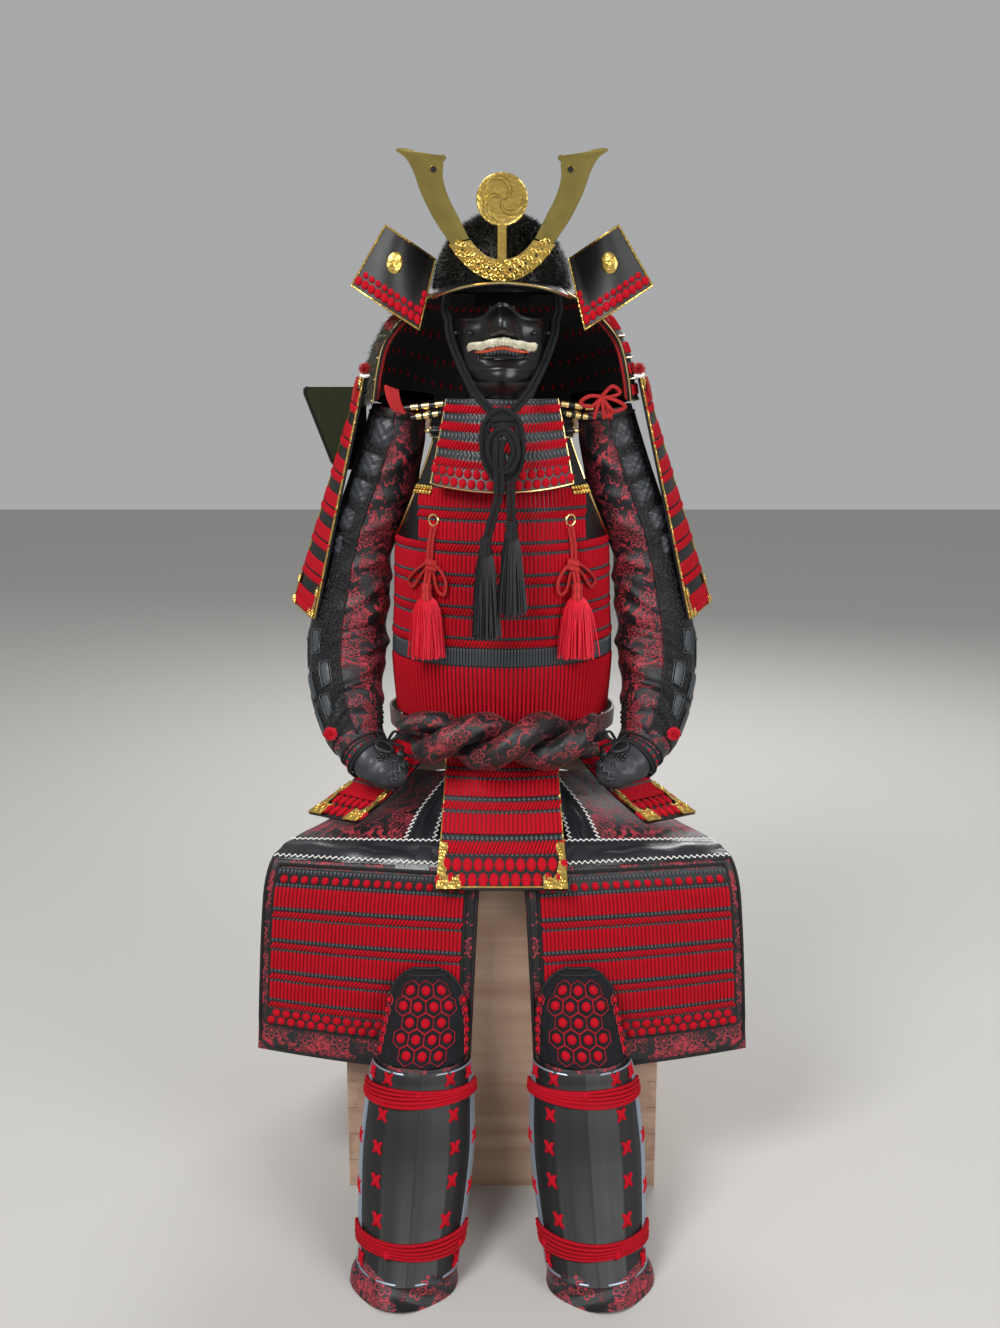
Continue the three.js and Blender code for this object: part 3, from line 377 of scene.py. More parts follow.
# Materials, worked out by nodes from each piece's own texture places in metres
class Ink:
    """One material's node tree, with short names for the sums it needs."""

    def __init__(self, name, colour, roughness, metal=0.0, **sockets):
        self.material = bpy.data.materials.new(name)
        self.material.use_nodes = True
        self.nodes = self.material.node_tree.nodes
        self.links = self.material.node_tree.links
        self.shader = self.nodes["Principled BSDF"]
        self.shader.inputs["Base Color"].default_value = (*colour, 1)
        self.shader.inputs["Roughness"].default_value = roughness
        self.shader.inputs["Metallic"].default_value = metal
        for socket, value in sockets.items():
            self.shader.inputs[socket.replace("_", " ")].default_value = value
        self.material.diffuse_color = (*colour, 1)
        self.colour = colour

    def put(self, value, socket):
        if hasattr(value, "links"):
            self.links.new(value, socket)
        else:
            socket.default_value = value

    def math(self, kind, a, b=0.0, c=0.0):
        node = self.nodes.new("ShaderNodeMath")
        node.operation = kind
        for value, socket in zip((a, b, c), node.inputs):
            self.put(value, socket)
        return node.outputs[0]

    def add(self, a, b):
        return self.math("ADD", a, b)

    def times(self, a, b):
        return self.math("MULTIPLY", a, b)

    def wave(self, a):
        return self.math("SINE", a)

    def over(self, value, low, high):
        """Runs smoothly from 0 at low to 1 at high."""
        node = self.nodes.new("ShaderNodeMapRange")
        node.interpolation_type = "SMOOTHSTEP"
        self.put(value, node.inputs["Value"])
        node.inputs["From Min"].default_value = low
        node.inputs["From Max"].default_value = high
        return node.outputs["Result"]

    def place(self):
        node = self.nodes.new("ShaderNodeUVMap")
        node.uv_map = "place"
        split = self.nodes.new("ShaderNodeSeparateXYZ")
        self.links.new(node.outputs[0], split.inputs[0])
        return node.outputs[0], split.outputs[0], split.outputs[1]

    def space(self):
        node = self.nodes.new("ShaderNodeTexCoord")
        split = self.nodes.new("ShaderNodeSeparateXYZ")
        self.links.new(node.outputs["Object"], split.inputs[0])
        return node.outputs["Object"], split.outputs[0], split.outputs[1], split.outputs[2]

    def vector(self, x, y, z=0.0):
        node = self.nodes.new("ShaderNodeCombineXYZ")
        for value, socket in zip((x, y, z), node.inputs):
            self.put(value, socket)
        return node.outputs[0]

    def noise(self, vector, scale, detail=2.0, distortion=0.0):
        node = self.nodes.new("ShaderNodeTexNoise")
        self.links.new(vector, node.inputs["Vector"])
        node.inputs["Scale"].default_value = scale
        node.inputs["Detail"].default_value = detail
        node.inputs["Distortion"].default_value = distortion
        return node.outputs[0]

    def cells(self, vector, scale, feature="F1", output="Distance"):
        node = self.nodes.new("ShaderNodeTexVoronoi")
        node.feature = feature
        self.links.new(vector, node.inputs["Vector"])
        node.inputs["Scale"].default_value = scale
        return node.outputs[output]

    def mix(self, share, a, b):
        node = self.nodes.new("ShaderNodeMix")
        node.data_type = "RGBA"
        self.put(share, node.inputs["Factor"])
        for value, socket in ((a, node.inputs[6]), (b, node.inputs[7])):
            self.put(value if hasattr(value, "links") else (*value, 1), socket)
        return node.outputs[2]

    def paint(self, colour):
        self.links.new(colour, self.shader.inputs["Base Color"])

    def rough(self, value):
        self.links.new(value, self.shader.inputs["Roughness"])

    def relief(self, height, depth_mm, strength=1.0):
        node = self.nodes.new("ShaderNodeBump")
        node.inputs["Strength"].default_value = strength
        node.inputs["Distance"].default_value = depth_mm * MM
        self.links.new(height, node.inputs["Height"])
        self.links.new(node.outputs[0], self.shader.inputs["Normal"])


def braided(name, colour, pitch_mm, depth_mm=0.35, **sockets):
    """A flat braid: chevrons that meet on the cord's middle line, with painted shade darkening the grooves
    between strands.
    """
    ink = Ink(name, colour, 0.8, Specular_IOR_Level=0.2, **sockets)
    _, x, y = ink.place()
    ramp = ink.add(y, ink.math("ABSOLUTE", x))
    strand = ink.wave(ink.times(ramp, 2 * math.pi / (pitch_mm * MM)))
    # dark: the cord colour at 0.4, painted shade in the grooves where the strand wave is low
    dark = tuple(c * 0.4 for c in colour)
    ink.paint(ink.mix(ink.over(strand, -1.1, 0.1), dark, colour))
    ink.relief(strand, depth_mm)
    return ink.material


def roped(name, colour, pitch_mm, around_mm, depth_mm=0.5, **sockets):
    """A round braid: two families of strands that cross round the rope, with painted shade darkening where
    they dip.
    """
    ink = Ink(name, colour, 0.7, Specular_IOR_Level=0.35, **sockets)
    _, x, y = ink.place()
    fast = 2 * math.pi / (pitch_mm * MM)
    turn = ink.times(x, 2 * math.pi * 4 / (around_mm * MM))
    one = ink.wave(ink.add(ink.times(y, fast), turn))
    two = ink.wave(ink.math("SUBTRACT", ink.times(y, fast), turn))
    strand = ink.times(one, two)
    # dark: painted shade in the dips between the crossing strands
    dark = tuple(c * 0.4 for c in colour)
    ink.paint(ink.mix(ink.over(strand, -0.4, 0.4), dark, colour))
    ink.relief(strand, depth_mm)
    return ink.material


def lacquer(name, colour=(0.004, 0.004, 0.005), roughness=0.36):
    ink = Ink(name, colour, roughness, Specular_IOR_Level=0.5)
    where, *_ = ink.space()
    ink.rough(ink.math("MULTIPLY_ADD", ink.noise(where, 30), 0.12, roughness - 0.05))
    ink.relief(ink.noise(where, 60), 0.25, 0.4)
    return ink.material


def brocade(name, ground, figure, size_mm=52):
    """Black silk with dull red rosettes, clouds and scrolling lines, all worked out by formula."""
    ink = Ink(name, ground, 0.55, Sheen_Weight=0.05)
    where, x, y = ink.place()
    size = size_mm * MM
    warp = ink.noise(where, 14, 1)
    wx = ink.math("MULTIPLY_ADD", warp, 0.25 * size, x)
    wy = ink.math("MULTIPLY_ADD", warp, -0.22 * size, y)
    rows = ink.math("FLOOR", ink.math("DIVIDE", wy, size))
    shift = ink.times(ink.math("MODULO", rows, 2.0), 0.5)
    cx = ink.math("SUBTRACT", ink.math("FRACT", ink.add(ink.math("DIVIDE", wx, size), shift)), 0.5)
    cy = ink.math("SUBTRACT", ink.math("FRACT", ink.math("DIVIDE", wy, size)), 0.5)
    radius = ink.math("SQRT", ink.add(ink.times(cx, cx), ink.times(cy, cy)))
    angle = ink.math("ARCTAN2", cy, cx)
    petals = ink.math("MULTIPLY_ADD", ink.math("ABSOLUTE", ink.wave(ink.times(angle, 3.0))), 0.09, 0.16)
    rim = ink.math("ABSOLUTE", ink.math("SUBTRACT", radius, petals))
    flower = ink.math("SUBTRACT", 1.0, ink.over(rim, 0.012, 0.035))
    heart = ink.math("SUBTRACT", 1.0, ink.over(radius, 0.035, 0.06))
    veins = ink.times(ink.over(ink.wave(ink.times(angle, 12.0)), 0.2, 0.8),
                      ink.times(ink.over(radius, 0.07, 0.1),
                                ink.math("SUBTRACT", 1.0, ink.over(radius, 0.13, 0.17))))
    swirl = ink.noise(where, 78, 1.2, 1.8)
    bands = ink.math("FRACT", ink.times(swirl, 6.0))
    lines = ink.over(ink.math("ABSOLUTE", ink.math("SUBTRACT", bands, 0.5)), 0.3, 0.34)
    cloud = ink.times(lines, ink.over(ink.noise(where, 30, 1, 0.8), 0.49, 0.52))
    blots = ink.times(ink.over(ink.noise(where, 60, 2.0, 1.6), 0.59, 0.6), ink.over(bands, 0.12, 0.16))
    outside = ink.over(radius, 0.27, 0.31)
    ground_lines = ink.times(ink.math("MAXIMUM", cloud, blots), outside)
    pattern = ink.math("MAXIMUM", ink.math("MAXIMUM", flower, heart),
                       ink.math("MAXIMUM", veins, ground_lines))
    thread = ink.times(ink.wave(ink.times(x, 2 * math.pi / (0.9 * MM))),
                       ink.wave(ink.times(y, 2 * math.pi / (0.9 * MM))))
    worn = ink.over(ink.noise(where, 26, 3), 0.34, 0.5)
    ink.paint(ink.mix(ink.times(pattern, worn), ground, figure))
    ink.rough(ink.math("MULTIPLY_ADD", pattern, 0.15, 0.36))
    ink.relief(ink.math("MULTIPLY_ADD", thread, 0.3, pattern), 0.2, 0.7)
    return ink.material


def mail(name):
    """Fine black mail: small crinkled rings, with painted shade darkening the gaps between them."""
    ink = Ink(name, (0.02, 0.02, 0.022), 0.42, 0.4)
    where, *_ = ink.place()
    rings = ink.math("MULTIPLY_ADD", ink.cells(where, 330), -1.0, 1.0)
    knots = ink.over(ink.noise(where, 300, 2, 1.2), 0.42, 0.58)
    height = ink.times(ink.over(rings, 0.25, 0.8), ink.math("MULTIPLY_ADD", knots, 0.7, 0.3))
    # Near black down in the gaps between rings, following the ring relief: painted shade
    ink.paint(ink.mix(height, (0.001, 0.001, 0.0012), (0.05, 0.05, 0.055)))
    ink.relief(height, 1.6)
    return ink.material


def hammered(name, colour, scale, depth_mm):
    ink = Ink(name, colour, 0.3, 1.0)
    where, *_ = ink.space()
    dents = ink.cells(where, scale)
    ink.paint(ink.mix(ink.noise(where, 45, 3), tuple(c * 0.62 for c in colour), colour))
    ink.relief(dents, depth_mm)
    return ink.material


def grained_leather(name, colour, roughness):
    ink = Ink(name, colour, roughness, Coat_Weight=0.25, Coat_Roughness=0.25)
    where, *_ = ink.space()
    ink.relief(ink.add(ink.cells(where, 420), ink.times(ink.noise(where, 35, 3), 3.0)), 0.35)
    return ink.material


def timber(name, flat_grain):
    """Pale softwood. Its grain runs level on the sides, along the depth on top."""
    ink = Ink(name, (0.42, 0.26, 0.15), 0.55)
    _, x, y, z = ink.space()
    stretched = ink.vector(ink.times(x, 0.06 if flat_grain else 1.0), ink.times(y, 0.06), ink.times(z, 1.0))
    broad = ink.noise(stretched, 38, 4, 0.25)
    fine = ink.noise(stretched, 260, 2)
    late = ink.over(broad, 0.35, 0.65)
    pale = ink.mix(late, (0.6, 0.41, 0.29), (0.45, 0.28, 0.19))
    ink.paint(ink.mix(ink.times(fine, 0.3), pale, (0.3, 0.17, 0.11)))
    ink.relief(fine, 0.12, 0.5)
    return ink.material


def plain(name, colour, roughness, metal=0.0, **sockets):
    return Ink(name, colour, roughness, metal, **sockets).material


def fuzzy(name, colour, roughness=0.9):
    ink = Ink(name, colour, roughness, Specular_IOR_Level=0.25)
    where, *_ = ink.space()
    ink.paint(ink.mix(ink.noise(where, 160, 3), tuple(c * 0.55 for c in colour),
                      tuple(min(1, c * 1.5) for c in colour)))
    ink.relief(ink.noise(where, 900, 2), 0.3)
    return ink.material


RED_LACE = braided("red_lace", (0.68, 0.003, 0.018), 2.2)
RED_ROPE = roped("red_rope", (0.7, 0.03, 0.03), 3.2, 20)
RED_THREAD = plain("red_thread", (0.7, 0.008, 0.03), 0.75)
BLACK_ROPE = roped("black_rope", (0.022, 0.023, 0.026), 5.0, 19, 1.3)
BLACK_THREAD = plain("black_thread", (0.014, 0.015, 0.018), 0.6)
SCALE_HEAD = plain("scale_head", (0.035, 0.042, 0.05), 0.42, Coat_Weight=0.2)
BLACK = lacquer("black_lacquer")
SATIN_BLACK = lacquer("satin_black_lacquer", (0.006, 0.006, 0.007), 0.46)
MATTE_BLACK = plain("matte_black", (0.0035, 0.0035, 0.004), 0.65, Specular_IOR_Level=0.3)
MASK_BLACK = lacquer("mask_lacquer", (0.003, 0.003, 0.0035), 0.3)
BROCADE = brocade("black_red_brocade", (0.0045, 0.005, 0.007), (0.4, 0.022, 0.04))
BELT_BROCADE = brocade("belt_brocade", (0.005, 0.0045, 0.005), (0.3, 0.02, 0.03), 44)
MAIL = mail("black_mail")
GOLD = hammered("hammered_gold", (0.9, 0.62, 0.16), 150, 0.9)
BRASS = hammered("plain_brass", (0.56, 0.44, 0.13), 12, 0.25)
GOLD_EDGE = plain("gold_edge", (0.86, 0.62, 0.26), 0.25, 1.0)
BLUE_STEEL = plain("blue_steel", (0.3, 0.36, 0.44), 0.42, 0.6)
LEATHER = grained_leather("black_leather", (0.011, 0.013, 0.016), 0.3)
EMBOSSED = grained_leather("embossed_leather", (0.017, 0.02, 0.025), 0.58)
SLATE = grained_leather("slate_leather", (0.045, 0.055, 0.064), 0.5)
SUEDE = fuzzy("black_cloth", (0.009, 0.0095, 0.012))
OLIVE = fuzzy("dark_olive_hide", (0.022, 0.028, 0.012))
FUR = plain("black_fur", (0.006, 0.0065, 0.004), 0.5)
HIDE_HAIR = plain("olive_hair", (0.03, 0.032, 0.014), 0.55)
HAIR = plain("pale_hair", (0.85, 0.8, 0.64), 0.7, Sheen_Weight=0.2)
WHITE_THREAD = plain("white_thread", (0.8, 0.8, 0.76), 0.8)
PIPING = plain("black_piping", (0.005, 0.005, 0.006), 0.7)
WOOD = timber("pale_wood", True)
END_WOOD = timber("end_wood", False)
LIP = plain("red_lip", (0.75, 0.09, 0.03), 0.35, Coat_Weight=0.4)


# The suit's surfaces, the same as the CAD solids follow
TORSO = {"mid_y": -5, "hem": 700, "rib_top": 815, "rib_bottom": 787, "front_top": 1047, "back_top": 1112}
SIDE_PANEL = {"bottom": 962, "lace_half": 120}
ARM_BOTTOM = 950
BOWL = {"y": 10, "z": 1315, "side": 94, "front": 114, "height": 107, "fur": 6}
BELT = {"bottom": 676, "top": 702, "wall": 4, "standoff": 10.1, "strand": 20, "gap": 1.9, "axis_z": 690,
        "turns": 1.7, "reach": 40}

TORSO_ROWS = Table("z w f b",
                   (640, 155, 122, 112), (700, 159, 124, 114), (787, 165, 131, 119), (860, 161, 134, 122),
                   (955, 158, 133, 124), (1047, 150, 120, 118), (1112, 128, 90, 98), (1140, 122, 80, 90))
ARMHOLE_ROWS = Table("z angle", (640, 89.8), (ARM_BOTTOM, 89.8), (985, 70), (1047, 54), (1112, 50),
                     (1140, 50))


def torso_point(angle, z):
    row = TORSO_ROWS.at(z)
    depth = np.where(np.cos(angle) > 0, row["f"], row["b"])
    return stack(row["w"] * np.sin(angle), TORSO["mid_y"] - depth * np.cos(angle), z)


def armhole(z):
    return np.radians(np.where(z < ARM_BOTTOM, 89.8, ARMHOLE_ROWS.at(z)["angle"]))


def torso_wall(bottom, top, facing):
    """The torso between two heights; u from 0 to 1 spans the half circle about the way it faces."""
    def point(u, v):
        return torso_point(facing + (np.asarray(u) * 2 - 1) * math.pi / 2, lerp(bottom, top, np.asarray(v)))
    return point


def torso_panel(bottom, top, facing):
    """The same between the armhole edges."""
    def point(u, v):
        z = lerp(bottom, top, np.asarray(v))
        return torso_point(facing + (np.asarray(u) * 2 - 1) * armhole(z), z)
    return point


def tasset_point(angles, drop_z, tips):
    def point(u, v):
        u, v = np.broadcast_arrays(np.asarray(u, float), np.asarray(v, float))
        angle = np.radians(lerp(angles[0], angles[1], u))
        start = torso_point(angle, np.full(u.shape, TORSO["hem"] - SEAM))
        knee = torso_point(angle, np.full(u.shape, float(drop_z)))
        end = np.array(tips[0]) + (np.array(tips[1]) - np.array(tips[0])) * u[..., None]
        t = (1 - v)[..., None]
        return (1 - t)**2 * start + 2 * t * (1 - t) * knee + t**2 * end
    return point


THIGH_ROWS = Table("v out_x out_y out_z in_x in_y in_z",
                   (0.0, -362, -204, 224, -46, -279, 222), (0.45, -346, -203, 462, -34, -263, 466),
                   (0.55, -334, -194, 515, -30, -248, 518), (0.64, -312, -158, 530, -28, -216, 548),
                   (0.8, -262, -96, 545, -24, -168, 590), (1.0, -150, -40, 604, -18, -112, 628))


def thigh_point(u, v):
    row = THIGH_ROWS.at(v)
    sag = 10 * np.sin(math.pi * np.asarray(u)) * ease((0.62 - np.asarray(v)) / 0.5)
    return stack(lerp(row["out_x"], row["in_x"], u), lerp(row["out_y"], row["in_y"], u) - sag,
                 lerp(row["out_z"], row["in_z"], u))


ARM_ROWS = Table("t x y z rx ry",
                 (0.0, -136, -172, 632, 5, 5), (0.05, -150, -168, 636, 22, 17),
                 (0.12, -174, -154, 644, 31, 24),
                 (0.2, -199, -134, 658, 33, 30), (0.3, -220, -100, 686, 42, 38),
                 (0.4, -232, -56, 730, 51, 46),
                 (0.5, -235, -22, 790, 56, 52), (0.62, -226, -8, 870, 53, 52), (0.76, -209, 0, 960, 46, 51),
                 (0.9, -174, 3, 1060, 46, 49), (0.96, -160, 4, 1106, 45, 47), (1.0, -152, 4, 1150, 40, 41))


def arm_point(around, t):
    around, t = np.broadcast_arrays(np.asarray(around, float), np.asarray(t, float))
    row = ARM_ROWS.at(t)
    low = ARM_ROWS.at(np.maximum(0, t - 0.01))
    high = ARM_ROWS.at(np.minimum(1, t + 0.01))
    along = stack(high["x"] - low["x"], high["y"] - low["y"], high["z"] - low["z"])
    along /= np.linalg.norm(along, axis=-1, keepdims=True)
    side = np.array([1.0, 0, 0]) - along * along[..., :1]
    side /= np.linalg.norm(side, axis=-1, keepdims=True)
    front = np.cross(along, side)
    angle = (2 * math.pi * around)[..., None]
    return (stack(row["x"], row["y"], row["z"]) + side * row["rx"][..., None] * np.cos(angle)
            + front * row["ry"][..., None] * np.sin(angle))


# The sleeve's creases: t along the arm, around where each is deepest, height and width, last the small ones
SLEEVE_FOLDS = ((0.3, 0.8, 4, 0.02), (0.37, 0.95, 5, 0.022), (0.45, 0.85, 5, 0.024), (0.53, 0.05, 6, 0.024),
                (0.6, 0.9, 5, 0.026), (0.68, 0.0, 4, 0.026), (0.8, 0.85, 3.5, 0.03))
SMALL_FOLDS = ((0.26, 0.85, 3.4, 0.009), (0.3, 0.72, 3.0, 0.008), (0.335, 0.72, 4.2, 0.01),
               (0.37, 0.8, 3.2, 0.008),
               (0.41, 0.78, 4.4, 0.01), (0.445, 0.84, 3.2, 0.008), (0.49, 0.88, 4.2, 0.011),
               (0.53, 0.78, 3.2, 0.008),
               (0.565, 0.8, 4.2, 0.01), (0.6, 0.86, 2.8, 0.008), (0.64, 0.86, 4.0, 0.012),
               (0.69, 0.78, 3.0, 0.01),
               (0.73, 0.88, 3.6, 0.012), (0.79, 0.8, 3.0, 0.01), (0.86, 0.84, 4.0, 0.014),
               (0.92, 0.8, 3.2, 0.012),
               (0.5, 0.45, 3.0, 0.012), (0.62, 0.4, 2.8, 0.012), (0.36, 0.4, 3.2, 0.012),
               (0.87, 0.0, 6.0, 0.06))


def sleeve_rise(around, t):
    rise = 0
    for fold_t, fold_around, height, width in SLEEVE_FOLDS:
        turn = 2 * math.pi * (around - fold_around)
        slant = fold_t + 0.02 * np.sin(turn)
        rise = rise + height * bump((t - slant) / width) * (0.55 + 0.45 * np.cos(turn))
    for fold_t, fold_around, height, width in SMALL_FOLDS:
        turn = 2 * math.pi * (around - fold_around)
        slant = fold_t + 0.05 * np.sin(turn) + 0.008 * np.sin(3 * turn + 40 * fold_t)
        rise = rise + height * bump((t - slant) / width) * np.maximum(0, np.cos(turn)) ** 1.5
    return rise


GUARD_CORNERS = {"top_far": (-215.2, 103.7, 1198), "top_near": (-198.9, -47.8, 1196),
                 "low_far": (-331.6, 110, 838),
                 "low_near": (-279.6, -52, 842)}


def shoulder_point(u, v):
    u, v = np.broadcast_arrays(np.asarray(u, float), np.asarray(v, float))
    corner = {name: np.array(p, float) for name, p in GUARD_CORNERS.items()}
    far = corner["low_far"] + (corner["top_far"] - corner["low_far"]) * v[..., None]
    near = corner["low_near"] + (corner["top_near"] - corner["low_near"]) * v[..., None]
    p = far + (near - far) * u[..., None]
    p[..., 0] += -3 * np.sin(math.pi * u)
    return p


LEG_ROWS = Table("z x y w d",
                 (0, -133, -508, 71, 84), (28, -128, -484, 65, 66), (90, -123, -438, 71, 64),
                 (147, -119.5, -402, 75, 64), (205, -116, -374, 72, 60), (250, -114, -351, 66, 54),
                 (270, -112, -340, 61, 46), (320, -107, -312, 56, 28), (352, -107, -294.7, 48, 18),
                 (374, -107, -283, 32, 8), (384, -107, -277.6, 14, 2))


def leg_panel(reach, bottom, top):
    def point(u, v):
        angle = np.radians(lerp(-reach, reach, np.asarray(u)))
        z = lerp(bottom, top, np.asarray(v))
        row = LEG_ROWS.at(z)
        return stack(row["x"] + row["w"] * np.sin(angle), row["y"] + row["d"] * (1 - np.cos(angle)), z)
    return point


def dome_point(grow):
    def point(u, v):
        around = 2 * math.pi * np.asarray(u)
        up = np.asarray(v) * math.radians(88)
        return stack((BOWL["side"] + grow) * np.cos(around) * np.cos(up),
                     BOWL["y"] + (BOWL["front"] + grow) * np.sin(around) * np.cos(up),
                     BOWL["z"] + (BOWL["height"] + grow) * np.sin(up))
    return point


NECK_ROWS = Table("v side rear z reach", (0, 198, 194, 1163, 112), (0.3, 191, 187, 1208, 112),
                  (0.6, 176, 172, 1252, 112), (0.8, 148, 150, 1290, 120), (1, 96.5, 116.5, 1316, 114))


NECK_DIP = {"depth": 45, "from": 0.45}


def neck_point(u, v):
    row = NECK_ROWS.at(v)
    angle = np.radians(lerp(row["reach"], -row["reach"], u))
    dip = NECK_DIP["depth"] * (1 - v) * ease((np.cos(angle) - NECK_DIP["from"]) / (1 - NECK_DIP["from"]))
    return stack(row["side"] * np.sin(angle), BOWL["y"] + row["rear"] * np.cos(angle), row["z"] - dip)


def visor_point(u, v):
    angle = np.radians(lerp(-54, 54, np.asarray(u)))
    rise = np.cos(angle)
    reach = BOWL["fur"] - SEAM
    inner = stack((BOWL["side"] + reach) * np.sin(angle), BOWL["y"] - (BOWL["front"] + reach) * rise,
                  1318 + 11 * rise)
    outer = stack(121 * np.sin(angle), BOWL["y"] - lerp(136, 185, rise**2) * rise, 1297 + 28 * rise**2)
    return outer + (inner - outer) * np.asarray(v, float)[..., None]


TURN_CORNERS = {"top_out": (-163, -62, 1407), "low_out": (-213, -66, 1324), "low_in": (-116, -84, 1262),
                "top_in": (-95, -16, 1362)}


def turnback_point(u, v):
    u, v = np.broadcast_arrays(np.asarray(u, float), np.asarray(v, float))
    corner = {name: np.array(p, float) for name, p in TURN_CORNERS.items()}
    out = corner["low_out"] + (corner["top_out"] - corner["low_out"]) * v[..., None]
    into = corner["low_in"] + (corner["top_in"] - corner["low_in"]) * v[..., None]
    p = out + (into - out) * u[..., None]
    p[..., 1] += -22 * np.sin(math.pi * np.minimum(1, u * 1.15)) * (0.4 + 0.6 * v)
    return p


MASK_ROWS = Table("v z w y d", (0, 1168, 44, -122, 60), (0.2, 1196, 57, -137, 80), (0.45, 1230, 66, -137, 86),
                  (0.75, 1262, 71, -133, 86), (1, 1279, 70, -128, 82))
MASK_REACH = 82


def mask_point(u, v):
    degrees = lerp(-MASK_REACH, MASK_REACH, np.asarray(u, float))
    v = np.asarray(v, float)
    row = MASK_ROWS.at(v)
    nose = bump(degrees / 13) * ease((v - 0.58) / 0.12) * (24 - 12 * ease((v - 0.74) / 0.26))
    cheek = 7 * bump((np.abs(degrees) - 38) / 16) * bump((v - 0.78) / 0.2)
    mouth = -6 * bump(degrees / 30) * bump((v - 0.43) / 0.1)
    chin = 7 * bump(degrees / 26) * bump((v - 0.2) / 0.12)
    angle = np.radians(degrees)
    out = nose + cheek + mouth + chin
    bridge = 22 * bump(degrees / 17) * v * v
    return stack((row["w"] + out) * np.sin(angle),
                 row["y"] + row["d"] * (1 - np.cos(angle)) - out * np.cos(angle),
                 row["z"] + bridge)


def throat_point(u, v):
    u, v = np.broadcast_arrays(np.asarray(u, float), np.asarray(v, float))
    x = lerp(-1, 1, u)
    return stack(x * lerp(101, 79, v), lerp(-163, -126, v) + 30 * x * x,
                 lerp(1042, 1169, v) + 10 * x * x * (1 - v))


# Lacing on a plate, from rows listed from the top down as (kind, height)
LACED_UNIT = (("lace", 24), ("bead", 5.5), ("twist", 10.5), ("bead", 5.5))
TWIST_LEAN = 0.55


class Lacing:
    """The red cords and the dark scale heads on one plate."""

    def __init__(self, point, rows, limits=None, lace=6.4, twist=5.2, bead=4.6, knot=15.5):
        self.point = point
        self.rows = rows
        self.total = sum(height for _, height in rows)
        self.limits = limits or (lambda v: (0.0, 1.0))
        self.pitch = {"lace": lace, "twist": twist, "bead": bead, "knots": knot, "long": lace, "rib": bead}
        self.red = Shape()
        self.heads = Shape()
        depth = 0
        for number, (kind, height) in enumerate(rows):
            if kind != "plain":
                self.row(kind, height, 1 - (depth + height / 2) / self.total, number)
            depth += height

    def places(self, v, pitch, shift=0.0):
        """Evenly spread places across the row, in real lengths."""
        u0, u1 = self.limits(v)
        us = np.linspace(u0, u1, 65)
        line = self.point(us, np.full_like(us, v))
        length = np.concatenate([[0], np.cumsum(np.linalg.norm(np.diff(line, axis=0), axis=1))])
        count = max(1, int(round(length[-1] / pitch)))
        s = (np.arange(count) + 0.5 + shift) * length[-1] / count
        return np.interp(s, length, us)

    def row(self, kind, height, v, number):
        pitch = self.pitch[kind]
        if kind == "lace":
            form = half_round(pitch * 0.9, height + 2.6, 2.9, tip=2.6, rows=4)
            set_on(self.red, form, self.point, self.places(v, pitch), v + 1.0 / self.total, self.total)
        elif kind == "long":
            form = half_round(pitch * 0.8, height, 3.0, tip=5, rows=6)
            set_on(self.red, form, self.point, self.places(v, pitch), v, self.total)
        elif kind == "twist":
            form = half_round(pitch * 0.92, height + 1.5, 3.6, rows=7, lean=TWIST_LEAN, round_ends=True)
            set_on(self.red, form, self.point, self.places(v, pitch), v, self.total)
        elif kind == "bead":
            form = button(pitch * 0.92, height * 0.96, 2.6)
            set_on(self.heads, form, self.point, self.places(v, pitch), v, self.total)
        elif kind == "rib":
            form = half_round(pitch * 0.86, height - 3, 2.0, tip=1.5)
            set_on(self.heads, form, self.point, self.places(v, pitch), v, self.total)
        elif kind == "knots":
            shift = 0.25 if number % 2 else -0.25
            size = min(height * 1.04, 14)
            form = button(size, size, 4.6, rings=4, sides=8)
            set_on(self.red, form, self.point, self.places(v, pitch, shift), v, self.total)

    def make(self, name, sign=1, heads=None):
        made = []
        if self.red.count:
            made.append(self.red.mirrored(sign).make(f"{name}_lacing", RED_LACE, "red_lacing", sharp=60))
        if self.heads.count:
            made.append(self.heads.mirrored(sign).make(f"{name}_scale_heads", heads or SCALE_HEAD,
                                                       "black_lacquer",
                                                         sharp=60))
        return made


def edging(shape, point, corners, radius, count=40, lift=0.0):
    """A round edge along a line on a surface, given by its corners in u and v."""
    legs = np.array(corners, float)
    cut = np.linspace(0, len(legs) - 1, count + 1)
    i = np.minimum(cut.astype(int), len(legs) - 2)
    uv = legs[i] + (legs[i + 1] - legs[i]) * (cut - i)[:, None]
    line = lifted(point, lift)(uv[:, 0], uv[:, 1])
    rod(shape, line, radius, 6)


# Cords: each run has two braided ropes side by side
KNOT_Y = -186
ROPE = 3.1
TASSEL_HEAD = 27


def cheek_point(u, v):
    return lifted(mask_point, 6.5 + 2 * SEAM)(np.array(u, float), np.array(v, float))


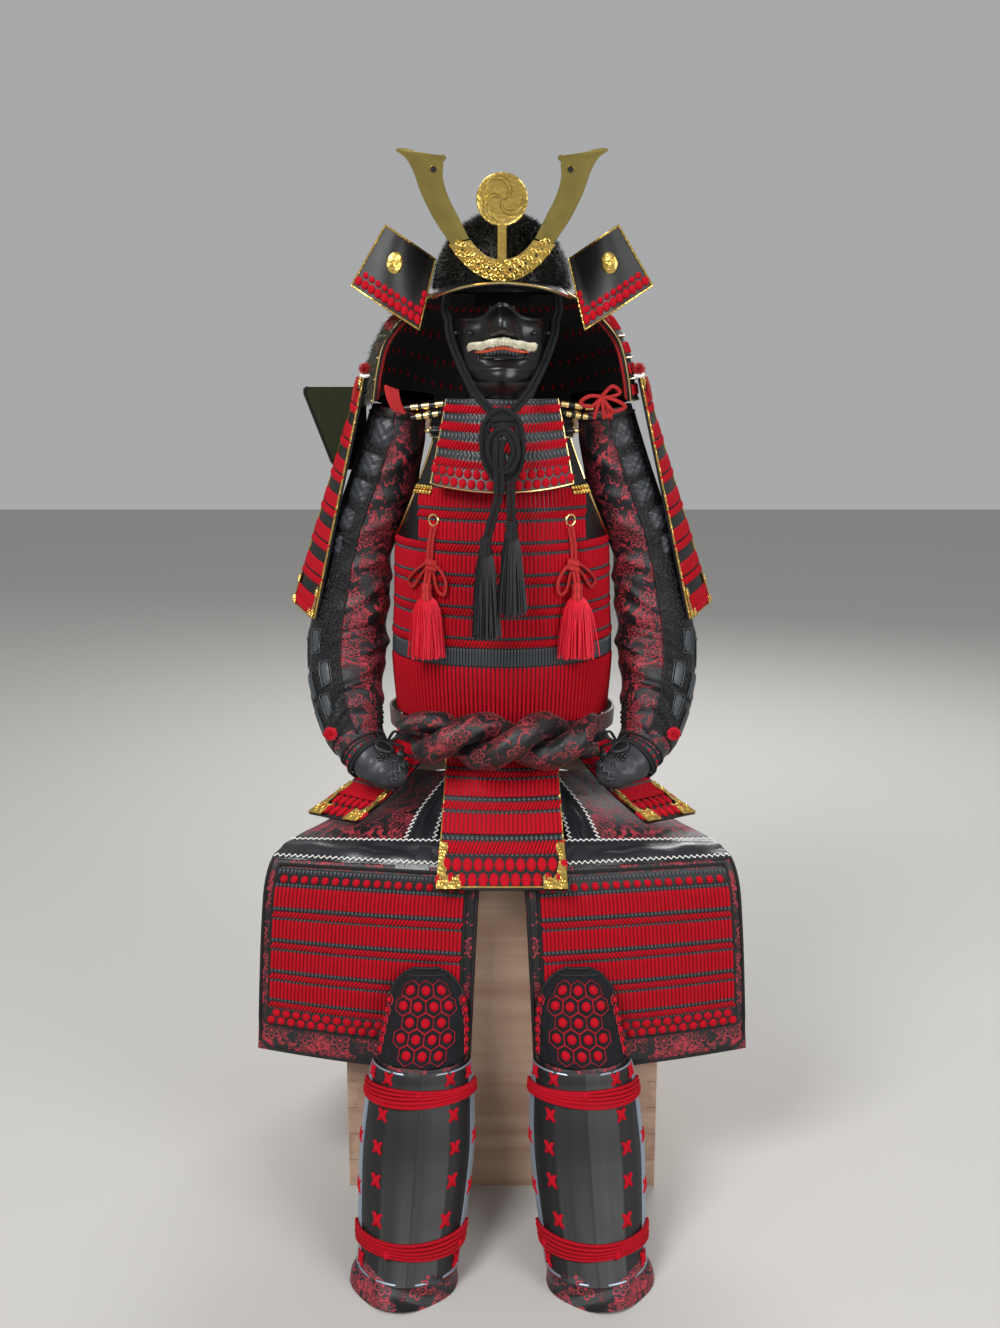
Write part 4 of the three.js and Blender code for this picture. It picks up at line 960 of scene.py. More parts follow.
CHIN_RUN = [(-77, -51, 1313.8), (-79, -54, 1304), (-80, -60, 1290), cheek_point(0.02, 0.95),
            cheek_point(0.06, 0.75),
            cheek_point(0.11, 0.55), cheek_point(0.16, 0.36), cheek_point(0.22, 0.2), (-36, -150, 1178),
            (-24, -168, 1165), (-13.8, -180.6, 1154.8)]
KNOT_LOOP = [(-20, KNOT_Y, 1140), (0, KNOT_Y - 4, 1156), (20, KNOT_Y, 1140), (25, KNOT_Y, 1110),
             (20, KNOT_Y, 1078), (2, KNOT_Y - 2, 1062), (-16, KNOT_Y, 1078), (-24, KNOT_Y, 1110)]
KNOT_WRAP = [(-14, KNOT_Y - 9.6, 1118), (2, KNOT_Y - 10.4, 1131), (16, KNOT_Y - 9.2, 1116),
             (17, KNOT_Y - 9, 1094),
             (6, KNOT_Y - 10, 1079), (-10, KNOT_Y - 9.5, 1090)]
KNOT_NECK = [(-13, KNOT_Y - 3, 1141), (0, KNOT_Y - 10, 1143), (13, KNOT_Y - 3, 1142)]
KNOT_TAIL = [(-3, KNOT_Y - 17, 1120), (-5, KNOT_Y - 16, 1098), (-4, KNOT_Y - 8, 1070), (-4, KNOT_Y - 2, 1044)]
PENDANTS = ({"name": "a", "from": (-4, KNOT_Y - 2, 1041.7), "to": (-19.5, KNOT_Y, 986),
             "head": (-23, KNOT_Y, 985.6),
             "length": 146},
            {"name": "b", "from": (11.6, KNOT_Y, 1058), "to": (13, KNOT_Y, 1008),
             "head": (13, KNOT_Y - 2, 1007.6),
             "length": 134})


def side_by_side(points, count, gap, closed=False):
    """Two paths beside each other, half the gap to each side of a smooth path."""
    path = smooth_path(points, count, closed)
    side, _ = frames_along(path, closed)
    return path + side * gap / 2, path - side * gap / 2


def rope_piece(name, path, radius, material, slot, replaces=()):
    shape = Shape()
    rod(shape, path, radius, 10)
    return shape.make(name, material, slot, replaces, sharp=80)


def threads(shape, head, length, neck, skirt, count):
    """The threads of a tassel, from under its head to slightly uneven ends."""
    head = np.array(head, float)
    for k in range(count):
        angle = 2 * math.pi * k * 0.381966
        share = math.sqrt((k + 0.5) / count)
        root = np.array([math.cos(angle), 0.8 * math.sin(angle), 0]) * neck * 0.8 * share
        out = np.array([math.cos(angle) * skirt[0], math.sin(angle) * skirt[1], 0]) * share
        sway = rng.normal(0, 0.8, 3) * np.array([1.4, 0.7, 0])
        drop = length * (1 - 0.06 * rng.random())
        path = [head + root + [0, 0, -20], head + out * 0.72 + [0, 0, -20 - length * 0.12],
                head + out * 0.86 + sway + [0, 0, -length * 0.5],
                head + out * 0.96 + 2 * sway + [0, 0, -length * 0.78],
                head + out + 2.6 * sway + [0, 0, -drop]]
        rod(shape, smooth_path(path, 6), 1.0, 3)


def tassel_head(shape, head, neck):
    """The bound head: a netted ball over a ring, turned about its upright middle."""
    x, y, z = head
    profile = ((0.1, 0), (0.62, -0.6), (0.95, -4.5), (1.0, -8), (0.8, -13), (0.86, -14.5), (1.05, -18.5),
               (1.06, -24), (0.9, -27.5), (0.1, -27.6))
    turn = np.linspace(0, 2 * math.pi, 16, endpoint=False)
    rings = []
    for radius, drop in reversed(profile):
        wobble = 1 + 0.05 * np.cos(8 * turn + drop)
        rings.append(np.stack([x + neck * radius * wobble * np.cos(turn),
                               y + neck * radius * wobble * np.sin(turn),
                               np.full(16, z + drop)], -1))
    points = np.array(rings)
    around = np.broadcast_to(turn / (2 * math.pi) * 19, points.shape[:2])
    up = np.broadcast_to(points[:, :1, 2], points.shape[:2])
    shape.add(points, grid_faces(16, len(rings), wrap=True), np.stack([around, up], -1))


def tassel(name, head, length, neck, skirt, rope, thread, slot, replaces):
    bound = Shape()
    tassel_head(bound, head, neck)
    top = bound.make(f"{name}_head", rope, slot)
    skirt_shape = Shape()
    threads(skirt_shape, head, length, neck, skirt, 230)
    ends = skirt_shape.make(f"{name}_threads", thread, slot, replaces, sharp=80)
    return [top, ends]


def make_chin_cords():
    knot_parts = []
    for number, (points, radius, closed) in enumerate(((KNOT_LOOP, 3.7, True), (KNOT_WRAP, 3.7, True),
                                                       (KNOT_NECK, 4.2, False), (KNOT_TAIL, 3.9, False))):
        shape = Shape()
        for path in side_by_side(points, 40 if closed else 16, radius * 1.95, closed):
            rod(shape, path[:-1] if closed else path, radius, 10, closed=closed, ends=not closed)
            if closed:
                rod(shape, path[-2:], radius, 10, ends=False)
        knot_parts.append(shape.make(f"chin_knot_{number}", BLACK_ROPE, "black_cord",
                                     "chin_knot" if number == 0 else (), sharp=80))
    for side, sign in SIDES:
        flip = np.array([sign, 1, 1])
        for number, path in enumerate(side_by_side(np.array(CHIN_RUN) * flip, 60, 2 * ROPE + 0.2)):
            piece = rope_piece(f"chin_rope_{side}_{number}", path, ROPE, BLACK_ROPE, "black_cord",
                               f"chin_cord_{side}" if number == 0 else ())
            knot_parts.pop()
    for end in PENDANTS:
        name = f"black_tassel_{end['name']}"
        ends = tassel(name, end["head"], end["length"], 9, (17.5, 11.5), BLACK_ROPE, BLACK_THREAD,
                      "black_cord", name)
        middle = (np.array(end["from"]) + np.array(end["to"])) / 2
        inside = np.array(end["head"]) - [0, 0, TASSEL_HEAD]
        ropes = side_by_side([end["from"], middle, end["to"], inside], 24, 2 * ROPE + 0.2)
        for number, path in enumerate(ropes):
            piece = rope_piece(f"pendant_rope_{end['name']}_{number}", path, ROPE, BLACK_ROPE, "black_cord",
                               f"pendant_cord_{end['name']}" if number == 0 else ())


# Chest ornaments: a ring on each side of the front, a bow of red cord and a red tassel
RING_X = -98


def chest_off(x, z, away):
    row = TORSO_ROWS.at(z)
    face_y = TORSO["mid_y"] - row["f"] * math.sqrt(1 - (x / float(row["w"]))**2) - 3.4
    return (x, float(face_y) - away, z)


def make_chest_cords():
    m = RING_X
    stem = [chest_off(m, 988.4, 5.5), chest_off(m - 4, 965, 6.5), chest_off(m - 6, 935, 7),
            chest_off(m - 9, 912.6, 20),
            chest_off(m - 10, 911.2 - TASSEL_HEAD, 22)]
    outer = [chest_off(m - 6, 938, 6), chest_off(m - 24, 926, 6), chest_off(m - 38, 906, 6),
             chest_off(m - 31, 899, 6), chest_off(m - 20, 916, 6)]
    inner = [chest_off(m - 4, 938, 6), chest_off(m + 8, 930, 6), chest_off(m + 18, 912, 6),
             chest_off(m + 15, 893, 6), chest_off(m + 6, 898, 6), chest_off(m, 920, 6)]
    for side, sign in SIDES:
        flip = np.array([sign, 1, 1])
        for number, points in enumerate((outer, inner)):
            shape = Shape()
            path = smooth_path(np.array(points) * flip, 36, True)
            rod(shape, path, 2.5, 10, closed=True, ends=False)
            shape.make(f"chest_bow_{side}_{number}", RED_ROPE, "red_lacing", sharp=80)
        bow = Shape()
        centre = np.array(chest_off(m - 4, 938, 8.5)) * flip
        for dz, radius in ((0, 5.2), (-8, 4.6)):
            rod(bow, [centre + [-7, 0, dz + 2], centre + [0, -2, dz], centre + [7, 0, dz - 2]], radius, 10)
        bow.make(f"chest_bow_knot_{side}", RED_ROPE, "red_lacing", sharp=80)
        head = np.array(chest_off(m - 10, 911.2, 22)) * flip
        ends = tassel(f"red_tassel_{side}", head, 112, 8, (25, 13.5), RED_ROPE, RED_THREAD, "red_lacing",
                      f"red_tassel_{side}")
        for number, path in enumerate(side_by_side(np.array(stem) * flip, 24, 5.2)):
            piece = rope_piece(f"chest_rope_{side}_{number}", path, 2.5, RED_ROPE, "red_lacing",
                               f"chest_cord_{side}" if number == 0 else ())
        ring = Shape()
        turn = np.linspace(0, 2 * math.pi, 33)
        face = np.array(chest_off(m, 998, -0.8))
        tilt = -0.62
        path = np.stack([face[0] + 8 * np.cos(turn) * math.cos(tilt),
                         face[1] + 8 * np.cos(turn) * math.sin(tilt),
                         face[2] + 8 * np.sin(turn)], -1)
        rod(ring, path * flip, 1.6, 8, closed=True, ends=False)
        ring.make(f"chest_ring_{side}_gold", GOLD_EDGE, "brass", f"chest_ring_{side}")


make_chin_cords()
make_chest_cords()


# Chest, lid and stand
CHEST = {"width": 460, "depth": 420, "body_top": 475, "lid_top": 515, "board": 14, "fingers": 11}


def box_shape(shape, low, high):
    x0, y0, z0 = low
    x1, y1, z1 = high
    points = [(x, y, z) for z in (z0, z1) for y in (y0, y1) for x in (x0, x1)]
    faces = [(0, 2, 3, 1), (4, 5, 7, 6), (0, 1, 5, 4), (2, 6, 7, 3), (0, 4, 6, 2), (1, 3, 7, 5)]
    shape.add(points, faces)


def make_chest():
    half_w, half_d = CHEST["width"] / 2, CHEST["depth"] / 2
    board, top = CHEST["board"], CHEST["body_top"]
    boards = Shape()
    ends = Shape()
    for y in (-half_d, half_d - board):
        box_shape(boards, (-half_w + board, y, 0), (half_w - board, y + board, top))
    for x in (-half_w, half_w - board):
        box_shape(boards, (x, -half_d + board, 0), (x + board, half_d - board, top))
    box_shape(boards, (-half_w + board, -half_d + board, 0), (half_w - board, half_d - board, board))
    step = top / CHEST["fingers"]
    groove = 0.5
    for x in (-half_w, half_w - board):
        for y in (-half_d, half_d - board):
            for k in range(CHEST["fingers"]):
                target = ends if k % 2 else boards
                box_shape(target, (x, y, k * step + groove), (x + board, y + board, (k + 1) * step - groove))
    boards.make("chest_boards", WOOD, "wood", "chest_body")
    ends.make("chest_finger_ends", END_WOOD, "wood")
    lid = Shape()
    low = top + SEAM
    box_shape(lid, (-half_w, -half_d, CHEST["lid_top"] - board), (half_w, half_d, CHEST["lid_top"]))
    box_shape(lid, (-half_w, -half_d, low), (half_w, -half_d + board, CHEST["lid_top"] - board - 0.4))
    box_shape(lid, (-half_w, half_d - board, low), (half_w, half_d, CHEST["lid_top"] - board - 0.4))
    for x in (-half_w, half_w - board):
        box_shape(lid, (x, -half_d + board, low), (x + board, half_d - board, CHEST["lid_top"] - board - 0.4))
    lid.make("chest_lid_boards", WOOD, "wood", "chest_lid")


def make_stand():
    low = CHEST["lid_top"] + SEAM
    shape = Shape()
    box_shape(shape, (-120, -80, low), (120, 80, low + 16))
    box_shape(shape, (-18, -18, low + 16), (18, 18, 1300))
    box_shape(shape, (-111.5, -18, 1122.4), (111.5, 18, 1146.4))
    shape.make("stand_wood", WOOD, "wood", "stand")
    head = Shape()
    profile = [(0.01, 1296), (40, 1296), (40, 1388)]
    profile += [(40 * math.cos(a),
                 lerp(1388, 1418.9, math.sin(a))) for a in np.linspace(0.2, math.pi / 2 - 0.01, 6)]
    turn = np.linspace(0, 2 * math.pi, 32, endpoint=False)
    rings = np.array([[(r * math.cos(a), BOWL["y"] + r * math.sin(a), z) for a in turn] for r, z in profile])
    head.add(rings, grid_faces(32, len(profile), wrap=True))
    head.make("stand_head_cloth", SUEDE, "black_cloth")


make_chest()
make_stand()


# Cuirass
def torso_limits(bottom, top, laced_half):
    """How far round the rows go at each height: to the armhole edge, or to the side panels in front."""
    def limits(v):
        z = lerp(bottom, top, v)
        reach = float(armhole(np.array(z))) / (math.pi / 2)
        if z > SIDE_PANEL["bottom"] and laced_half:
            width = float(TORSO_ROWS.at(np.array(z))["w"])
            reach = min(reach, math.asin(min(1, laced_half / width)) / (math.pi / 2))
        return 0.5 - reach / 2, 0.5 + reach / 2
    return limits


def make_cuirass():
    middle = list(LACED_UNIT * 5)[:-1]
    rows = [("bead", 5), *middle, ("rib", TORSO["rib_top"] - TORSO["rib_bottom"]),
            ("long", TORSO["rib_bottom"] - TORSO["hem"])]
    us = steps(40)
    front = torso_panel(TORSO["hem"], TORSO["front_top"], 0)
    shell(front, us, steps(50), PLATE).make("cuirass_front_plate", BLACK, "black_lacquer", "cuirass_front")
    Lacing(torso_wall(TORSO["hem"], TORSO["front_top"], 0), rows,
           torso_limits(TORSO["hem"], TORSO["front_top"], SIDE_PANEL["lace_half"])).make("cuirass_front")
    back = torso_panel(TORSO["hem"], TORSO["back_top"], math.pi)
    shell(back, us, steps(50), PLATE).make("cuirass_back_plate", BLACK, "black_lacquer", "cuirass_back")
    back_rows = [("plain", TORSO["back_top"] - TORSO["front_top"]), *rows]
    Lacing(torso_wall(TORSO["hem"], TORSO["back_top"], math.pi), back_rows,
           torso_limits(TORSO["hem"], TORSO["back_top"], 0)).make("cuirass_back")
    upper = torso_panel(TORSO["front_top"] + SEAM, TORSO["back_top"], 0)
    shell(upper, us, steps(6), PLATE).make("chest_plate_lacquer", BLACK, "black_lacquer", "chest_plate")
    rims = Shape()
    above = (ARM_BOTTOM - TORSO["hem"]) / (TORSO["front_top"] - TORSO["hem"])
    for u in (0.004, 0.996):
        edging(rims, front, [(u, above), (u, 1)], 1.5, 24, 1.0)
    back_above = (ARM_BOTTOM - TORSO["hem"]) / (TORSO["back_top"] - TORSO["hem"])
    for u in (0.004, 0.996):
        edging(rims, back, [(u, back_above), (u, 1)], 1.5, 30, 1.0)
    edging(rims, back, [(0, 1), (1, 1)], 1.5, 30, 0.5)
    edging(rims, upper, [(0, 0.1), (0, 1), (1, 1), (1, 0.1)], 1.5, 60, 0.5)
    rims.make("cuirass_gold_rims", GOLD_EDGE, "brass")
    gold = Shape()
    across = float(np.linalg.norm(front(0.6, 1.0) - front(0.4, 1.0))) / 0.2
    tall = TORSO["front_top"] - TORSO["hem"]
    for u, turn in ((0.0, 1), (1.0, -1)):
        for row in range(2):
            for k in range(6):
                set_on(gold, button(6.6, 7.4, 2.8, 3, 7), front, u + turn * (4 + 6.2 * k) / across,
                       1 - (4.2 + 7 * row) / tall, tall, 3.4)
    gold.make("cuirass_corner_fittings", GOLD, "brass")


make_cuirass()


STRAP = {"inner": 74, "outer": 104, "thick": 5, "front_y": -67, "back_y": 66, "foot": 1112.6, "crown": 1167.6}


def strap_point(u, v):
    u, v = np.broadcast_arrays(np.asarray(u, float), np.asarray(v, float))
    w = 1 - v
    y = (w**3 * STRAP["front_y"] + 3 * w * w * v * (STRAP["front_y"] + 5) + 3 * w * v * v
         * (STRAP["back_y"] - 5)
         + v**3 * STRAP["back_y"])
    z = (w**3 + v**3) * STRAP["foot"] + 3 * w * v * STRAP["crown"]
    return stack(lerp(-STRAP["outer"], -STRAP["inner"], u), y, z)


def make_straps():
    for side, sign in SIDES:
        shell(strap_point, steps(4), steps(24), STRAP["thick"]).mirrored(sign).make(
            f"shoulder_strap_{side}_leather", LEATHER, "black_leather", f"shoulder_strap_{side}")
        rim = Shape()
        for u in (0.04, 0.96):
            edging(rim, strap_point, [(u, 0), (u, 1)], 1.4, 24, 0.6)
        rim.mirrored(sign).make(f"shoulder_strap_{side}_rim", GOLD_EDGE, "brass")
        toggle = Shape()
        x = -(STRAP["outer"] + STRAP["inner"]) / 2
        rod(toggle, [(x - 17, -70, 1122), (x - 8, -73, 1122), (x + 8, -73, 1122), (x + 17, -70, 1122)],
            [2.6, 3.6, 3.6, 2.6], 10)
        tips = Shape()
        for end in (-1, 1):
            rod(tips, [(x + end * 15, -71, 1122), (x + end * 19, -70, 1122), (x + end * 22, -69.5, 1122)],
                [3.4, 3.6, 1.2], 10)
        for high, low in (((-76, -76, 1161), (-142, -66, 1153)), ((-86, -76, 1147), (-130, -70, 1140))):
            high, low = np.array(high, float), np.array(low, float)
            rod(toggle, [high, lerp(high, low, 0.5), low], 4.4, 10)
            for at in (0.12, 0.42, 0.66):
                rod(tips, [lerp(high, low, at), lerp(high, low, at + 0.16)], 5.3, 10)
        toggle.mirrored(sign).make(f"strap_toggle_{side}", BLACK, "black_lacquer")
        tips.mirrored(sign).make(f"strap_toggle_tips_{side}", GOLD_EDGE, "brass")


make_straps()


# Belt
def make_belt():
    standoff = BELT["standoff"] + BELT["wall"]

    def band(u, v):
        return torso_point(2 * math.pi * np.asarray(u), lerp(BELT["bottom"], BELT["top"], np.asarray(v)))

    shell(lifted(band, standoff), steps(72), steps(3), BELT["wall"], closed=True).make(
        "belt_band_cloth", BELT_BROCADE, "brocade", "belt_band", weld=True)
    axis_out = standoff + 2 * BELT["strand"] + 0.4
    for name, phase in (("a", 0.6), ("b", 0.6 + math.pi)):
        path = []
        for t in steps(90):
            angle = math.radians(lerp(-BELT["reach"], BELT["reach"], t))
            axis = torso_point(np.array(angle), np.array(float(BELT["top"])))
            turn = 2 * math.pi * BELT["turns"] * t + phase
            radius = BELT["strand"] + BELT["gap"]
            away = axis_out + radius * math.cos(turn)
            path.append((axis[0] + math.sin(angle) * away, axis[1] - math.cos(angle) * away,
                         BELT["axis_z"] + radius * math.sin(turn)))
        path = np.array(path)
        shape = Shape()
        taper = np.minimum(1, 0.45 + 3.2 * np.minimum(steps(90), 1 - steps(90)))
        a, b = frames_along(path)
        turns = np.linspace(0, 2 * math.pi, 24, endpoint=False)
        rows = []
        for k, centre in enumerate(path):
            crease = 1 + 0.05 * np.sin(5 * turns + k * 0.5) + 0.03 * np.sin(9 * turns - k * 0.31)
            rows.append(centre + (a[k] * np.cos(turns)[:, None] + b[k] * np.sin(turns)[:, None])
                        * (BELT["strand"] * taper[k] * crease)[:, None])
        points = np.array(rows)
        length = np.concatenate([[0], np.cumsum(np.linalg.norm(np.diff(path, axis=0), axis=1))])
        places = np.stack(np.meshgrid(turns * BELT["strand"], length), -1)
        shape.add(points, grid_faces(24, len(path), wrap=True), places)
        for ring, order in ((points[0], -1), (points[-1], 1)):
            fan = np.stack([np.arange(24), (np.arange(24) + 1) % 24, np.full(24, 24)], -1)[:, ::order]
            shape.add(np.concatenate([ring, ring.mean(0)[None]]), fan)
        shape.make(f"belt_strand_{name}", BELT_BROCADE, "brocade", f"belt_twist_{name}", sharp=80)


make_belt()


# Gold corner fittings: a thin plate cut to a scrolled outline, with two raised flowers
def fitting(shape, point, corner, size, span, lift=3.4, turn_u=1, turn_v=1):
    """An L-shaped fitting in a panel's corner; size is its two arms' lengths, span the panel's two sizes."""
    cu, cv = corner
    arm_u, arm_v = size
    width = 11
    outline = []
    for t in steps(10):
        outline.append((arm_u * (1 - t) + width * t * 0.9, width + 2.2 * math.sin(t * 3 * math.pi)))
    for t in steps(10):
        outline.append((width + 2.2 * math.sin(t * 3 * math.pi), lerp(width, arm_v, t)))
    inner = np.array(outline)
    count = len(inner)
    edge = np.array([(x, 0) if i < count // 2 else (0, y) for i, (x, y) in enumerate(inner)], float)
    edge[count // 2 - 1] = edge[count // 2] = (0, 0)
    rows = np.stack([edge, (edge + inner) / 2, inner])
    heights = np.array([lift, lift + 0.8, lift])[:, None] * np.ones((1, count))
    u = cu + turn_u * rows[..., 0] / span[0]
    v = cv + turn_v * rows[..., 1] / span[1]
    P = point(u, v) + normals(point, u, v) * heights[..., None]
    faces = grid_faces(count, 3)
    if turn_u * turn_v > 0:
        faces = faces[:, ::-1]
    shape.add(P, faces)
    shape.add(P - normals(point, u, v) * 1.6, faces[:, ::-1])
    for x, y in ((width * 0.62, width * 0.62), (arm_u - 9, width * 0.55), (width * 0.55, arm_v - 9)):
        centre_u = cu + turn_u * x / span[0]
        centre_v = cv + turn_v * y / span[1]
        for k in range(6):
            angle = 2 * math.pi * k / 6
            set_on(shape, button(4.6, 4.6, 2.2, 2, 6), point, centre_u + 3.6 * math.cos(angle) / span[0],
                   centre_v + 3.6 * math.sin(angle) / span[1], span[1], lift)
        set_on(shape, button(4, 4, 3.2, 2, 6), point, centre_u, centre_v, span[1], lift)


# Tassets
FRONT_TASSET_ROWS = (("plain", 46), ("lace", 16), ("bead", 4), ("twist", 10.5), ("bead", 4), ("lace", 15.5),
                     ("bead", 5), ("twist", 10), ("bead", 5), ("lace", 23.5), ("bead", 7), ("twist", 10.5),
                     ("bead", 5.5), ("lace", 23), ("bead", 8), ("twist", 13), ("bead", 3), ("knots", 15),
                     ("knots", 14), ("plain", 2))
SIDE_TASSET_ROWS = (("plain", 50), ("lace", 14), ("bead", 4), ("twist", 9), ("bead", 4), ("lace", 16),
                    ("bead", 4),
                    ("twist", 9), ("bead", 4), ("lace", 14), ("knots", 11), ("knots", 11), ("plain", 2))


def make_tassets():
    front = tasset_point((-31, 31), 642, ((-92, -279, 503), (92, -279, 503)))
    shell(front, steps(24), steps(40), PLATE).make("tasset_front_plate", BLACK, "black_lacquer",
                                                   "tasset_front")
    Lacing(front, FRONT_TASSET_ROWS, bead=7, knot=14.6).make("tasset_front")
    total = sum(height for _, height in FRONT_TASSET_ROWS)
    gold = Shape()
    fitting(gold, front, (0.0, 0.0), (34, 44), (184, total))
    fitting(gold, front, (1.0, 0.0), (34, 44), (184, total), turn_u=-1)
    edging(gold, front, [(0.005, 0.8), (0.005, 0.01), (0.995, 0.01), (0.995, 0.8)], 1.3, 80, 0.6)
    gold.make("tasset_front_fittings", GOLD, "brass")
    side = tasset_point((-72, -38), 640, ((-292, -90, 552), (-212, -165, 562)))
    rear = tasset_point((-166, -116), 620, ((-70, 196, 540), (-215, 130, 540)))
    total = sum(height for _, height in SIDE_TASSET_ROWS)
    for label, point, width in (("side", side, 110), ("rear", rear, 155)):
        for name, sign in SIDES:
            node = f"tasset_{label}_{name}"
            shell(point, steps(16), steps(30), PLATE).mirrored(sign).make(
                f"{node}_plate", BLACK, "black_lacquer", node)
            Lacing(point, SIDE_TASSET_ROWS, bead=6).make(node, sign)
            gold = Shape()
            fitting(gold, point, (0.0, 0.0), (30, 38), (width, total))
            fitting(gold, point, (1.0, 0.0), (30, 38), (width, total), turn_u=-1)
            gold.mirrored(sign).make(f"{node}_fittings", GOLD, "brass")


make_tassets()


# Sheets of cloth: the flat area of each is worked out from its surface
def flat_area(point, us, vs):
    U, V = np.meshgrid(us, vs)
    p = point(U, V)
    across = p[:-1, 1:] - p[:-1, :-1]
    up = p[1:, :-1] - p[:-1, :-1]
    return float(np.linalg.norm(np.cross(across, up), axis=-1).sum()) * MM * MM


def declare_cloth(point, us, vs):
    area = flat_area(point, us, vs)


def zigzag(shape, point, start, end, across, pitch, radius, lift):
    """A zigzag of thread along a line on a surface, across it by so much to each side."""
    start, end = np.array(start, float), np.array(end, float)
    line = point(*[np.linspace(a, b, 30) for a, b in zip(start, end)])
    length = float(np.linalg.norm(np.diff(line, axis=0), axis=1).sum())
    count = max(2, int(length / pitch))
    t = np.linspace(0, 1, 2 * count + 1)
    uv = start + (end - start) * t[:, None]
    side = np.array(across) * np.where(np.arange(len(t)) % 2, 0.5, -0.5)[:, None]
    uv = uv + side
    path = point(uv[:, 0], uv[:, 1]) + normals(point, uv[:, 0], uv[:, 1]) * lift
    rod(shape, path, radius, 4)


# Thigh guards
THIGH_UNIT = (("lace", 28), ("bead", 8.5), ("twist", 9), ("bead", 5))
THIGH_LACING = [("bead", 10), ("knots", 11), ("bead", 7), *(THIGH_UNIT * 3), ("lace", 26), ("bead", 7),
                ("twist", 9), ("bead", 3), ("knots", 13), ("knots", 13)]


def make_thigh_guards():
    us, vs = steps(30), steps(70)

    def creases(u, v):
        lap = ease((v - 0.55) / 0.08)
        return lap * (2.2 * np.sin(9 * u + 14 * v) * np.sin(math.pi * u) + 1.6 * np.sin(21 * v - 5 * u))

    board = part(lifted(thigh_point, 3 * SEAM + PLATE), 0.055, 0.935, 0.085, 0.53)
    for name, sign in SIDES:
        cloth = shell(thigh_point, us, vs, CLOTH, rise=creases).mirrored(sign).make(
            f"thigh_cloth_{name}_brocade", BROCADE, "brocade", f"thigh_cloth_{name}", sharp=70)
        edges = Shape()
        edging(edges, thigh_point, [(0.5, 0.006), (0.07, 0.006), (0.012, 0.03), (0.006, 0.1), (0.006, 0.56)],
               2.6, 90, 0.4)
        edging(edges, thigh_point, [(0.5, 0.006), (0.99, 0.006), (0.99, 0.56)], 2.6, 90, 0.4)
        edging(edges, thigh_point, [(0.05, 0.08), (0.05, 0.54), (0.94, 0.54), (0.94, 0.08), (0.05, 0.08)],
               2.4, 160, 1.6)
        piping = edges.mirrored(sign).make(f"thigh_piping_{name}", PIPING, "black_cloth")
        band = part(lifted(thigh_point, 2.2), 0.0, 1.0, 0.555, 0.655)
        inner_strip = part(lifted(thigh_point, 2.4), 0.6, 0.76, 0.545, 0.99)
        upper = Shape()
        for patch, count in ((band, (60, 12)), (inner_strip, (10, 30))):
            made = shell(patch, steps(count[0]), steps(count[1]), 1.2,
                         rise=lambda u, v: (3.2 * np.sin(17 * u + 4 * v) * np.sin(9 * u - 5 * v) + 1.2)
                         * np.sin(math.pi * v))
            upper.add(made.points[0], made.faces[0], made.places[0])
        leather = upper.mirrored(sign).make(f"thigh_leather_{name}", LEATHER, "black_leather")
        stitches = Shape()
        base = lifted(thigh_point, 2.6)
        for v in (0.565, 0.645):
            zigzag(stitches, base, (0.01, v), (0.98, v), (0, 0.0085), 8.5, 1.05, 2.2)
        for u in (0.605, 0.755):
            zigzag(stitches, base, (u, 0.655), (u, 0.985), (0.02, 0), 8.5, 1.05, 2.2)
        thread = stitches.mirrored(sign).make(f"thigh_stitching_{name}", WHITE_THREAD, "white_thread")
        declare_cloth(thigh_point, us, vs)
        shell(board, steps(24), steps(40), PLATE).mirrored(sign).make(
            f"thigh_board_{name}", BLACK, "black_lacquer", f"thigh_plates_{name}")
        Lacing(board, THIGH_LACING, lace=5.8, twist=5.6, bead=5.8, knot=15.5).make(f"thigh_{name}", sign)


make_thigh_guards()


# Sleeves: brocade on the inner half, mail, stitched strips and embossed plates on the outer half
MAIL_HALF = (0.27, 0.735)
ARM_PLATES = ((0.965, 0.735), (0.905, 0.72), (0.85, 0.705), (0.79, 0.68), (0.735, 0.655))
ARM_STRIPS = ((0.51, 0.62), (0.49, 0.5), (0.5, 0.38), (0.425, 0.67), (0.41, 0.56), (0.42, 0.44),
              (0.345, 0.64),
              (0.33, 0.53), (0.34, 0.42))


def sleeve_surface(u, v):
    t = lerp(0.21, 1, np.asarray(v))
    return arm_point(u, t) + normals(lambda a, b: arm_point(a, lerp(0.21, 1, b)), u, v) * \
        np.asarray(sleeve_rise(np.asarray(u), t))[..., None]


SLEEVE_TOP = {"centre": (-152, 4, 1150), "rise": 22, "inward": 32, "draw_in": 0.5, "gathers": 13}


def sleeve_top_point(u, v):
    """The sleeve's gathered top: from its rim in towards the shoulder strap, open in the middle."""
    u, v = np.broadcast_arrays(np.asarray(u, float), np.asarray(v, float))
    centre = np.array(SLEEVE_TOP["centre"], float)
    out = arm_point(u, np.ones(u.shape)) - centre
    gather = 1 + 0.06 * np.sin(2 * math.pi * SLEEVE_TOP["gathers"] * u + 2
                               * np.sin(9 * u)) * np.sin(math.pi * v * 0.8)
    drawn = (1 - SLEEVE_TOP["draw_in"] * v**1.5) * gather
    shift = stack(SLEEVE_TOP["inward"] * v, 0 * v, SLEEVE_TOP["rise"] * np.sin(math.pi / 2 * v))
    return centre + shift + out * drawn[..., None]


